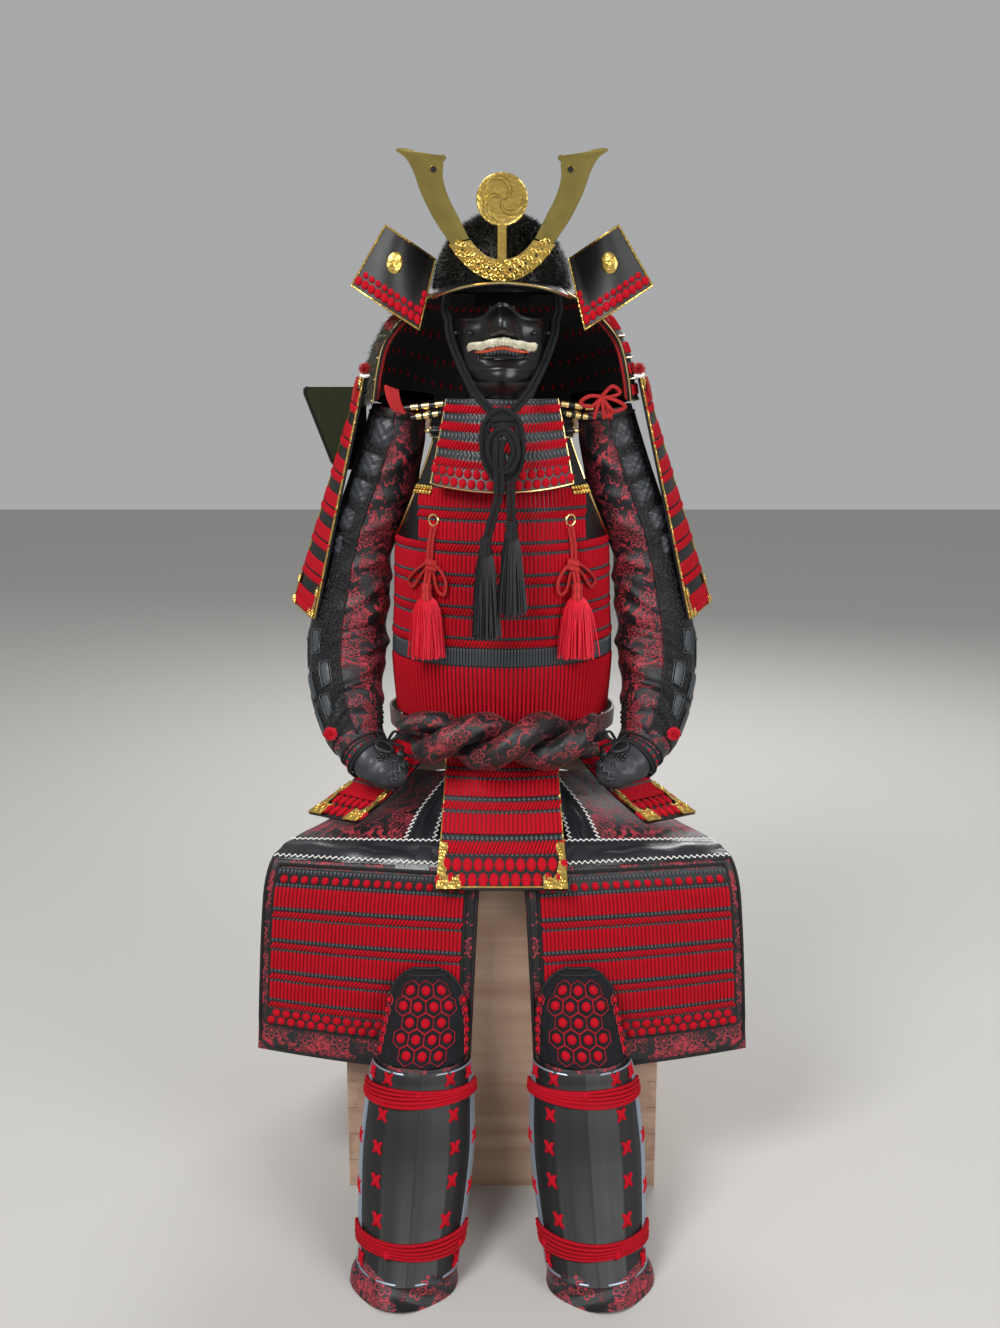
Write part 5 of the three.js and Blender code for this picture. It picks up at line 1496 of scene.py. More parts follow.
def pillow(shape, point, centre, size, span, out, lift, cells=14):
    """A small embossed plate: a rounded rectangle that swells in its middle."""
    a = np.linspace(-1, 1, cells + 1)
    X, Y = np.meshgrid(a, a)
    soft = 1 - 0.12 * (X**2 * Y**2)
    u = centre[0] + X * soft * size[0] / 2 / span[0]
    v = centre[1] + Y * soft * size[1] / 2 / span[1]
    ridge = 1 - np.maximum(np.abs(X), np.abs(Y))**4
    height = lift + out * ridge * (0.7 + 0.3 * np.cos(X * 8) * np.cos(Y * 8))
    P = point(u, v) + normals(point, u, v) * height[..., None]
    shape.add(P, grid_faces(cells + 1, cells + 1), np.stack([X * size[0] / 2, Y * size[1] / 2], -1))


def pompom(shape, centre, radius, count=220):
    centre = np.array(centre, float)
    k = np.arange(count)
    z = 1 - 2 * (k + 0.5) / count
    angle = math.pi * (3 - math.sqrt(5)) * k
    r = np.sqrt(1 - z * z)
    for direction in np.stack([r * np.cos(angle), r * np.sin(angle), z], -1):
        reach = radius * (0.9 + 0.2 * rng.random())
        rod(shape, [centre + direction * radius * 0.2, centre + direction * reach], [0.9, 0.5], 3)


def make_sleeves():
    us, vs = steps(64), steps(150)
    for name, sign in SIDES:
        cloth = shell(sleeve_surface, us, vs, CLOTH, closed=True).mirrored(sign).make(
            f"sleeve_{name}_brocade", BROCADE, "brocade", f"sleeve_{name}", sharp=80, weld=True)
        mail_part = part(lifted(sleeve_surface, 1.6), MAIL_HALF[0], MAIL_HALF[1], 0.06, 0.985)
        on_it = [shell(mail_part, steps(34), steps(110), 1.2).mirrored(sign).make(
            f"sleeve_{name}_mail", MAIL, "mail", sharp=80)]
        on_it.append(shell(sleeve_top_point, steps(96), steps(8), 1.6, closed=True).mirrored(sign).make(
            f"sleeve_{name}_top", BROCADE, "brocade", sharp=80))
        hem = Shape()
        for u in MAIL_HALF:
            edging(hem, sleeve_surface, [(u, 0.03), (u, 0.995)], 2.0, 120, 1.6)
        for v in (0.012, 0.988):
            edging(hem, sleeve_surface, [(0, v), (1, v)], 2.2, 60, 0.6)
        on_it.append(hem.mirrored(sign).make(f"sleeve_{name}_hems", PIPING, "black_cloth"))
        plates = Shape()
        for t, around in ARM_PLATES:
            pillow(plates, sleeve_surface, (around - 0.045, (t - 0.21) / 0.79), (36, 32), (300, 590), 4.4,
                   1.8)
        on_it.append(plates.mirrored(sign).make(f"sleeve_{name}_plates", EMBOSSED, "black_lacquer", sharp=60))
        strips = Shape()
        edge = Shape()
        for t, around in ARM_STRIPS:
            v = (t - 0.21) / 0.79
            pillow(strips, sleeve_surface, (around, v), (12, 40), (300, 590), 1.4, 3.0, 6)
            half_u, half_v = 8 / 300, 22 / 590
            corners = [(around - half_u, v - half_v), (around - half_u, v + half_v),
                       (around + half_u, v + half_v),
                       (around + half_u, v - half_v), (around - half_u, v - half_v)]
            edging(edge, sleeve_surface, corners, 0.8, 40, 3.0)
        on_it.append(strips.mirrored(sign).make(f"sleeve_{name}_strips", SLATE, "black_leather", sharp=60))
        on_it.append(edge.mirrored(sign).make(f"sleeve_{name}_strip_edges", SLATE, "black_leather"))
        laces = Shape()
        for k in range(7):
            low = 0.03 + k * 0.022
            for a, b in ((0.9, 0.97), (0.97, 0.9)):
                line = lifted(sleeve_surface, 2.2)(np.linspace(a, b, 8), np.linspace(low, low + 0.022, 8))
                rod(laces, line, 1.3, 6)
        on_it.append(laces.mirrored(sign).make(f"sleeve_{name}_laces", PIPING, "black_cord"))
        declare_cloth(sleeve_surface, us, vs)
        ball = Shape()
        pompom(ball, lifted(sleeve_surface, 9)(np.array(0.62), np.array(0.075)), 10)
        ball.mirrored(sign).make(f"sleeve_{name}_pompom", RED_THREAD, "red_lacing")


make_sleeves()


def make_hand_guards():
    guard = part(arm_point, 0.36, 0.98, 0.004, 0.207)

    def puff(u, v):
        swell = 2.0 * np.sin(math.pi * u) * np.sin(math.pi * v)
        return swell + 1.3 * np.sin(23 * v + 5 * u) * np.sin(17 * u - 6 * v) * np.sin(math.pi * v)

    for name, sign in SIDES:
        shell(guard, steps(24), steps(24), 3, rise=puff).mirrored(sign).make(
            f"hand_guard_{name}_leather", EMBOSSED, "black_leather", f"hand_guard_{name}", sharp=70)
        edge = Shape()
        edging(edge, guard, [(0.0, 0.02), (0.0, 1), (1, 1), (1, 0.02)], 1.8, 60, 0.2)
        edge.mirrored(sign).make(f"hand_guard_{name}_edge", PIPING, "black_cloth")
        red = Shape()
        for k in range(9):
            set_on(red, half_round(3.2, 9, 2.2, rows=6, round_ends=True), guard, 0.12 + 0.09 * k, 0.93, 118,
                   1.0)
        for u, v in ((0.84, 0.46), (0.97, 0.5), (0.9, 0.26)):
            set_on(red, half_round(4.5, 9, 3.6, rows=6, round_ends=True), guard, u, v, 118, 3.0)
        red.mirrored(sign).make(f"hand_guard_{name}_lacing", RED_LACE, "red_lacing")
        flower = Shape()
        for k in range(6):
            angle = 2 * math.pi * k / 6
            set_on(flower, button(9, 9, 2.2, 3, 10), guard, 0.62 + 0.045 * math.cos(angle),
                   0.52 + 0.075 * math.sin(angle), 118, 2.2)
        set_on(flower, button(7, 7, 3.6, 3, 10), guard, 0.62, 0.52, 118, 2.2)
        flower.mirrored(sign).make(f"hand_guard_{name}_flower", BLACK, "black_lacquer")
        # A matte black disc laid over the hand opening: painted shade standing in for the dark inside of the
        # opening
        opening_shade = Shape()
        set_on(opening_shade, button(34, 34, 1.2, 5, 24), guard, 0.76, 0.68, 118, 2.4)
        opening_shade.mirrored(sign).make(f"hand_guard_{name}_hollow", MATTE_BLACK, "black_cloth")
        folds = Shape()
        turns = np.linspace(0, 2 * math.pi, 33)
        circle = [(0.76 + 0.093 * math.cos(a) * (1 + 0.08 * math.sin(3 * a)),
                   0.68 + 0.155 * math.sin(a)) for a in turns]
        edging(folds, guard, circle, 2.6, 90, 2.4)
        edging(folds, guard, [(0.34 + 0.05 * k, 0.2 + 0.05 * math.sin(2.1 * k)) for k in range(14)], 3.0, 90,
               2.0)
        edging(folds, guard, [(0.42 + 0.05 * k, 0.33 + 0.035 * math.sin(1.7 * k + 1)) for k in range(10)],
               2.2, 70, 1.6)
        set_on(folds, button(19, 27, 8, 5, 14), guard, 0.93, 0.42, 118, 1.4)
        folds.mirrored(sign).make(f"hand_guard_{name}_folds", EMBOSSED, "black_leather", sharp=80)
        cords = Shape()
        for v in (0.86, 0.9):
            rod(cords, lifted(guard, 3.4)(np.linspace(-0.02, 1.02, 50), np.full(50, v)), 2.2, 8)
        knot_at = guard(np.array(0.93), np.array(0.88)) + [4, -8, 2]
        for reach, rise in ((20, 12), (24, -8), (-14, 14), (-10, -16)):
            side = knot_at + [reach, -5, rise]
            rod(cords, smooth_path([knot_at, knot_at + [reach * 0.6, -7, rise + 6], side,
                                    knot_at + [reach * 0.5, -4, rise - 7], knot_at], 18), 2.2, 6)
        cords.mirrored(sign).make(f"hand_guard_{name}_cords", PIPING, "black_cord")


make_hand_guards()


# Shoulder guards and the plate behind the right one
SHOULDER_UNIT = (("lace", 15), ("bead", 4), ("twist", 10), ("plain", 20))
SHOULDER_ROWS = [("plain", 22), *(SHOULDER_UNIT * 6), ("lace", 14), ("knots", 12), ("plain", 3)]


def make_shoulder_guards():
    total = sum(height for _, height in SHOULDER_ROWS)
    for name, sign in SIDES:
        node = f"shoulder_guard_{name}"
        shell(shoulder_point, steps(20), steps(60), 4).mirrored(sign).make(
            f"{node}_plate", MATTE_BLACK, "black_lacquer", node)
        Lacing(shoulder_point, SHOULDER_ROWS, bead=5, knot=13).make(node, sign, heads=MATTE_BLACK)
        gold = Shape()
        edging(gold, shoulder_point,
               [(0.004, 0.004), (0.996, 0.004), (0.996, 0.996), (0.004, 0.996), (0.004, 0.004)],
               1.5, 160, 0.6)
        fitting(gold, shoulder_point, (1.0, 0.0), (34, 46), (170, total), turn_u=-1)
        fitting(gold, shoulder_point, (0.0, 0.0), (34, 46), (170, total))
        fitting(gold, shoulder_point, (1.0, 1.0), (26, 16), (160, total), turn_u=-1, turn_v=-1)
        gold.mirrored(sign).make(f"{node}_fittings", GOLD, "brass")
        top = lifted(shoulder_point, 4)
        knot = Shape()
        for du in (-0.06, 0.0, 0.06):
            rod(knot, smooth_path([top(0.7 + du, 0.99), top(0.72 + du, 0.95) + [0, -4, 2],
                                   top(0.74 + du, 0.90)], 10),
                3.0, 8)
        pompom(knot, (-197, -44, 1208), 10, 90)
        knot.mirrored(sign).make(f"{node}_cord", RED_ROPE, "red_lacing")
        ends = Shape()
        rod(ends, [(-203, -53, 1199), (-197, -56, 1198), (-190, -54, 1199)], 2.4, 8)
        ends.mirrored(sign).make(f"{node}_cord_ends", WHITE_THREAD, "white_thread")


def make_rear_plate():
    corners = [(-300, 1176), (-305, 1172), (-305, 1166), (-266, 1062), (-258, 1050), (-212, 1050),
               (-212, 1176)]
    front, back = 107.0, 111.0
    count = len(corners)
    points = [(x, front, z) for x, z in corners] + [(x, back, z) for x, z in corners]
    shape = Shape()
    shape.add(points, [tuple(range(count - 1, -1, -1))][:1])
    shape.add(points, [tuple(range(count, 2 * count))][:1])
    sides = [(i, (i + 1) % count, (i + 1) % count + count, i + count) for i in range(count)]
    shape.add(points, sides)
    shape.make("rear_plate_hide", OLIVE, "dark_plate", "rear_plate")
    edge = Shape()
    rod(edge, [(x, front, z) for x, z in corners[::-1]], 2.2, 8)
    edge.make("rear_plate_edge", PIPING, "black_cloth")


make_shoulder_guards()
make_rear_plate()


# Legs
GAITER_TOP = 262
SHIN = {"foot": 22, "top": 258, "reach": 84, "step": 21}
SHIN_TALL = 236
KNEE_TALL = 121
HEXAGON = 13.2
SHIN_CROSSES = ((0.955, (0.08, 0.27, 0.72, 0.92)), (0.77, (0.26, 0.74)), (0.6, (0.035, 0.245, 0.755, 0.965)),
                (0.44, (0.25, 0.75)), (0.36, (0.04, 0.96)), (0.265, (0.27, 0.73)), (0.055, (0.1, 0.9)))


def hexagon_ring(radius, half=0.55, height=0.9):
    """A six-sided ring of thread, pointing up, as a small form for set_on."""
    points = []
    for k in range(6):
        angle = math.pi / 6 + k * math.pi / 3
        for reach, z in ((radius - half, 0.0), (radius, height), (radius + half, 0.0)):
            points.append((reach * math.cos(angle), reach * math.sin(angle), z))
    faces = [(3 * k + j, 3 * k + j + 1, 3 * ((k + 1) % 6) + j + 1, 3 * ((k + 1) % 6) + j)
             for k in range(6) for j in range(2)]
    points = np.array(points)
    return points, np.array(faces)[:, ::-1], points[:, :2] * MM


def make_legs():
    gaiter = leg_panel(SHIN["reach"] + SHIN["step"], 0, GAITER_TOP)
    knee = leg_panel(90, GAITER_TOP + 1.2, 384)
    shin = lifted(leg_panel(SHIN["reach"], SHIN["foot"], SHIN["top"]), 3 * SEAM + PLATE)
    leg_us, gaiter_vs = steps(40), steps(50)

    def ridge(u, v):
        ribs = 3.4 * np.maximum(0, 1 - np.abs(u - 0.5) / 0.14) + 0.8 * bump((u - 0.5) / 0.018)
        for place in (0.29, 0.71):
            ribs = ribs + bump((u - place) / 0.012)
        rim = 2.0 * bump((v - 0.985) / 0.02)
        return ribs + rim

    def quilt(u, v):
        rows = v * 6.2
        columns = u * 7.5 + 0.5 * np.mod(np.floor(rows), 2)
        cell = np.abs(np.sin(math.pi * rows)) * np.abs(np.sin(math.pi * columns))
        return 1.5 * cell**0.4 * (v < 0.93)

    def foot_folds(u, v):
        low = 1 - ease((v - 0.05) / 0.2)
        return low * (4.5 * np.sin(17 * u + 30 * v) * np.sin(math.pi * u) + 2.6 * np.sin(60 * v + 4 * u)
                      + 2.5)

    for name, sign in SIDES:
        cloth = shell(gaiter, leg_us, gaiter_vs, CLOTH, rise=foot_folds, floor=True).mirrored(sign).make(
            f"gaiter_{name}_brocade", BROCADE, "brocade", f"gaiter_{name}", sharp=70)
        declare_cloth(gaiter, leg_us, gaiter_vs)
        pad = shell(knee, steps(60), steps(50), 6, rise=quilt).mirrored(sign).make(
            f"knee_pad_{name}_cloth", SUEDE, "black_cloth", f"knee_pad_{name}", sharp=70)
        edges = Shape()
        for inset, radius in ((0.0, 2.4), (0.035, 1.5)):
            edging(edges, knee,
                   [(inset, 0.0), (inset, 1 - 2 * inset), (1 - inset, 1 - 2 * inset), (1 - inset, 0.0)],
                   radius, 120, 1.2)
        edges.mirrored(sign).make(f"knee_pad_{name}_piping", PIPING, "black_cloth")
        thread = Shape()
        knots = Shape()
        for row in range(5):
            row_count = 3 if row % 2 == 0 else 4
            row_v = 0.45 + (row - 2) * 1.5 * HEXAGON / KNEE_TALL
            wide = np.linalg.norm(knee(0.51, row_v) - knee(0.49, row_v)) / 0.02
            u = 0.5 + (np.arange(row_count) - (row_count - 1) / 2) * HEXAGON * math.sqrt(3) / wide
            v = np.full(row_count, row_v)
            set_on(thread, hexagon_ring(HEXAGON - 0.5, 0.42), knee, u, v, KNEE_TALL, 1.4)
            set_on(knots, button(13.5, 13, 4.6, 4, 8), knee, u, v, KNEE_TALL, 1.2)
        for row in range(6):
            v = 0.08 + row * 0.11
            for u in (0.055, 0.945):
                set_on(thread, hexagon_ring(7.5, 0.42), knee, u, v, KNEE_TALL, 1.4)
                set_on(knots, button(8.5, 8.5, 3.6, 3, 8), knee, u, v, KNEE_TALL, 1.2)
        thread.mirrored(sign).make(f"knee_pad_{name}_thread", RED_THREAD, "red_lacing")
        knots.mirrored(sign).make(f"knee_pad_{name}_knots", RED_LACE, "red_lacing")
        shell(shin, steps(64), steps(40), PLATE, rise=ridge).mirrored(sign).make(
            f"shin_plates_{name}_lacquer", SATIN_BLACK, "black_lacquer", f"shin_plates_{name}", sharp=60)
        steel = Shape()
        edging(steel, shin, [(0.0, 0.99), (0.0, 0.01), (1.0, 0.01), (1.0, 0.99), (0.0, 0.99)], 1.8, 200, 0.3)
        side_bands = Shape()
        for u0, u1 in ((0.004, 0.085), (0.915, 0.996)):
            band = part(shin, u0, u1, 0.01, 0.985)
            made = shell(band, steps(6), steps(60), 0.8, rise=lambda u, v: 1.1 + 1.2 * np.sin(math.pi * u))
            side_bands.add(made.points[0], made.faces[0], made.places[0])
        side_bands.mirrored(sign).make(f"shin_side_bands_{name}", BLUE_STEEL, "bright_steel")
        steel.mirrored(sign).make(f"shin_edges_{name}", BLUE_STEEL, "bright_steel")
        crosses = Shape()
        for v, columns in SHIN_CROSSES:
            for u in columns:
                for turn in (0.8, -0.8):
                    set_on(crosses, half_round(8.0, 16, 4.0, rows=6, round_ends=True, lean=turn), shin, u, v,
                           SHIN_TALL, 0.4)
                set_on(crosses, button(11, 11, 4.6, 3, 8), shin, u, v, SHIN_TALL, 0.4)
        crosses.mirrored(sign).make(f"shin_crosses_{name}", RED_LACE, "red_lacing")
        straps = Shape()
        for v, slope in ((0.865, 0.01), (0.15, -0.008)):
            for strand in range(5):
                path = lifted(shin, 4.0 + 0.5 * (strand % 2))(
                    np.linspace(-0.01, 1.01, 60), v + (strand - 2) * 0.0165 + slope
                                                              * np.sin(np.linspace(-1, 1, 60) * 2.6
                                                                                          + strand * 0.5))
                rod(straps, path, 2.7, 6)
        for u, v in ((0.5, 0.89), (0.88, 0.13), (0.36, 0.125)):
            set_on(straps, button(9, 9, 4, 3, 8), shin, u, v, SHIN_TALL, 5.0)
        straps.mirrored(sign).make(f"shin_straps_{name}", RED_LACE, "red_lacing")


make_legs()


# Helmet
def closed_dome(point, rise_from, count=64, rows=24):
    shape = Shape()
    us, vs = np.linspace(0, 1, count, endpoint=False), np.linspace(rise_from, 1, rows)
    U, V = np.meshgrid(us, vs)
    P = point(U, V)
    shape.add(P, grid_faces(count, rows, wrap=True), np.stack([U * 600, V * 200], -1))
    fan = np.stack([np.arange(count), (np.arange(count) + 1) % count, np.full(count, count)], -1)
    shape.add(np.concatenate([P[-1], P[-1].mean(0)[None]]), fan)
    return shape


def tufts(shape, roots, directions, length, width):
    """Short tapered hairs: a thin three-sided spike for each root."""
    roots, directions = np.asarray(roots), np.asarray(directions)
    across = np.cross(directions, [0.31, 0.2, 0.93])
    across /= np.maximum(np.linalg.norm(across, axis=1, keepdims=True), 1e-9)
    other = np.cross(directions, across)
    tip = roots + directions * length[:, None]
    ring = [across, -0.5 * across + 0.87 * other, -0.5 * across - 0.87 * other]
    points = np.stack([roots + side * width for side in ring] + [tip], 1)
    n = len(roots)
    base = np.arange(n)[:, None] * 4
    faces = np.concatenate([base + f for f in ([0, 1, 3], [1, 2, 3], [2, 0, 3])])
    shape.add(points.reshape(-1, 3), faces)


def make_helmet():
    bowl = closed_dome(dome_point(0), 0)
    inner = closed_dome(dome_point(-2.5), 0)
    bowl.points.extend(inner.points)
    bowl.places.extend(inner.places)
    bowl.faces.extend([f[:, ::-1] + bowl.count for f in inner.faces])
    bowl.count += inner.count
    bowl.make("helmet_bowl_lacquer", BLACK, "black_lacquer", "helmet_bowl")
    closed_dome(dome_point(3.0), 0.08).make("helmet_fur_skin", FUR, "black_fur", "helmet_fur", sharp=80)
    count = 16000
    u, v = rng.random(count), np.arcsin(rng.uniform(math.sin(0.05 * math.pi / 2), 1, count)) / (math.pi / 2)
    surface = dome_point(2.6)
    n = normals(surface, u, v)
    down = np.array([0, -0.15, -1.0])
    direction = n + 0.9 * (down - n * (n @ down)[:, None]) + rng.normal(0, 0.35, (count, 3))
    direction /= np.linalg.norm(direction, axis=1, keepdims=True)
    hairs = Shape()
    tufts(hairs, surface(u, v), direction, rng.uniform(5, 12, count), 0.6)
    hairs.make("helmet_fur_hairs", FUR, "black_fur", sharp=80)
    shell(visor_point, steps(48), steps(10), 2.5).make("visor_lacquer", BLACK, "black_lacquer", "visor")
    rim = Shape()
    edging(rim, visor_point, [(0.0, 0.02), (1.0, 0.02)], 1.6, 60, 0.2)
    rim.make("visor_rim", GOLD_EDGE, "brass")


TURNBACK_TALL = 100


def make_turnbacks():
    for name, sign in SIDES:
        node = f"turnback_{name}"
        shell(turnback_point, steps(24), steps(20), 2.5).mirrored(sign).make(
            f"{node}_lacquer", SATIN_BLACK, "black_lacquer", node)
        gold = Shape()
        edging(gold, turnback_point, [(0.01, 0.01), (0.99, 0.01), (0.99, 0.99), (0.01, 0.99), (0.01, 0.01)],
               1.6, 120, 0.4)
        set_on(gold, button(23, 30, 2.0, 4, 28), turnback_point, 0.4, 0.62, TURNBACK_TALL, 1.2)
        for k in range(3):
            for s in range(6):
                angle = 2 * math.pi * k / 3 + s * 0.36
                radius = 2.4 + s * 0.9
                size = 3.8 - 0.45 * s
                set_on(gold, button(size, size, 1.6, 2, 8), turnback_point,
                       0.4 + radius * math.cos(angle) / 95,
                       0.62 + 1.3 * radius * math.sin(angle) / TURNBACK_TALL, TURNBACK_TALL, 3.0)
        gold.mirrored(sign).make(f"{node}_gold", GOLD, "brass")
        red = Shape()
        for k in range(10):
            u = 0.06 + 0.88 * k / 9
            set_on(red, button(12.0, 14.0, 4.2, 4, 8), turnback_point, u, 0.12, TURNBACK_TALL, 0.6)
            if k < 9:
                set_on(red, button(9.6, 9.6, 3.6, 3, 8), turnback_point, u + 0.049, 0.24, TURNBACK_TALL, 0.6)
        for k in range(3):
            set_on(red, button(9.0, 11.0, 3.6, 3, 8), turnback_point, 0.95, 0.25 + 0.11 * k, TURNBACK_TALL,
                   0.6)
        red.mirrored(sign).make(f"{node}_lacing", RED_LACE, "red_lacing")


def make_neck_guard():
    lames = 5
    laces = 44

    def rise(u, v):
        within = np.mod(v * lames, 1)
        return np.where(v > 0.999, 0, 4 * (1 - np.minimum(1, within / 0.86) * 0.75))

    vs = []
    for k in range(lames):
        vs += list(np.linspace(k / lames, (k + 0.97) / lames, 5))
    vs.append(1.0)
    shell(neck_point, steps(90), np.array(vs), PLATE, rise=rise).make(
        "neck_guard_lames", MATTE_BLACK, "black_lacquer", "neck_guard", sharp=30)
    gold = Shape()
    red = Shape()
    for k in range(lames):
        v = k / lames + 0.004
        edging(gold, neck_point, [(0.0, v), (1.0, v)], 1.3, 90, 4.0)
        for i in range(laces):
            u = (i + 0.5) / laces
            set_on(red, half_round(4.0, 15, 2.4, tip=2.5), neck_point, u, (k + 0.52) / lames, 150, 2.6)
            if i < laces - 1:
                inside = (i + 1) / laces
                set_on(red, half_round(3.4, 7, -2.0, rows=5, round_ends=True), neck_point, inside,
                       (k + 0.35) / lames,
                       150, -PLATE - 0.1)
    edging(gold, neck_point, [(0.0, 0.0), (0.0, 0.98)], 1.4, 40, 1.5)
    edging(gold, neck_point, [(1.0, 0.0), (1.0, 0.98)], 1.4, 40, 1.5)
    gold.make("neck_guard_rims", GOLD_EDGE, "brass")
    red.make("neck_guard_lacing", RED_LACE, "red_lacing", sharp=70)
    count = 8000
    u, v = 1 - 0.27 * rng.random(count) ** 1.15, rng.uniform(0.02, 0.88, count)
    n = normals(neck_point, u, v)
    direction = n * 0.45 + np.array([0, 0, -1.0]) + rng.normal(0, 0.22, (count, 3))
    direction /= np.linalg.norm(direction, axis=1, keepdims=True)
    fur = Shape()
    tufts(fur, neck_point(u, v) + n * 3, direction, rng.uniform(9, 20, count), 0.6)
    fur.make("neck_guard_fur", HIDE_HAIR, "black_fur", sharp=80)
    cords = Shape()
    for u in (0.012, 0.988):
        line = lifted(neck_point, -6.5)(np.full(40, u), np.linspace(0.02, 0.9, 40))
        rod(cords, line, 3.0, 8)
    for k in range(5):
        top = np.array([-166 + 4 * k, -70 - 1.5 * (k % 2), 1186 - 1.5 * k])
        rod(cords, smooth_path([top, top + [3, -3, -16], top + [10, -1, -34]], 8), 2.6, 6)
    for reach, low in ((34, -14), (26, 6), (-30, -8), (16, -22)):
        middle = np.array([142.0, -72.0, 1170.0])
        side = middle + [reach, -4, low]
        rod(cords, smooth_path([middle, middle + [reach * 0.6, -7, low + 9], side,
                                middle + [reach * 0.5, -3, low - 6], middle], 20), 2.8, 6)
    for drop in (-10, 4, 14):
        start = np.array([142.0, -74.0, 1169.0])
        rod(cords, smooth_path([start, start + [drop * 0.6, -2, -14], start + [drop, 1, -30]], 8), 2.8, 6)
    cords.make("neck_guard_cords", RED_ROPE, "red_lacing")


CREST_Y = -113
CREST_LEAN = 0.12
CREST_FOOT = 1330
CREST_DISC = {"z": 1436, "radius": 35}


def crest_sheet(shape, outline, y, steps_in, thick=2.0):
    """A flat sheet of brass with a slight swell, cut to an outline of two sides of equal count."""
    left, right = (np.array(side, float) for side in outline)
    t = np.linspace(0, 1, steps_in + 1)
    grid = left[:, None] * (1 - t)[None, :, None] + right[:, None] * t[None, :, None]
    swell = 1.0 * np.sin(math.pi * t)[None, :]
    forward = CREST_LEAN * (grid[..., 1] - CREST_FOOT)
    for side, order in ((-1, 1), (1, -1)):
        depth = y - forward - (thick + swell if side < 0 else 0)
        P = np.stack([grid[..., 0], depth * np.ones(grid.shape[:2]), grid[..., 1]], -1)
        faces = grid_faces(steps_in + 1, len(left))
        shape.add(P, faces[:, ::order])
    for edge in (left, right):
        path = np.stack([edge[:, 0], y - thick / 2 - CREST_LEAN * (edge[:, 1] - CREST_FOOT), edge[:, 1]], -1)
        rod(shape, path, thick * 0.62, 6)


def crest_face(x, z, out=0.0):
    return np.array([x, CREST_Y - 2 - CREST_LEAN * (z - CREST_FOOT) - out, z], float)


def crest_plane(x, z):
    x, z = np.broadcast_arrays(np.asarray(x, float), np.asarray(z, float))
    return stack(x, CREST_Y - 2 - CREST_LEAN * (z - CREST_FOOT), z)


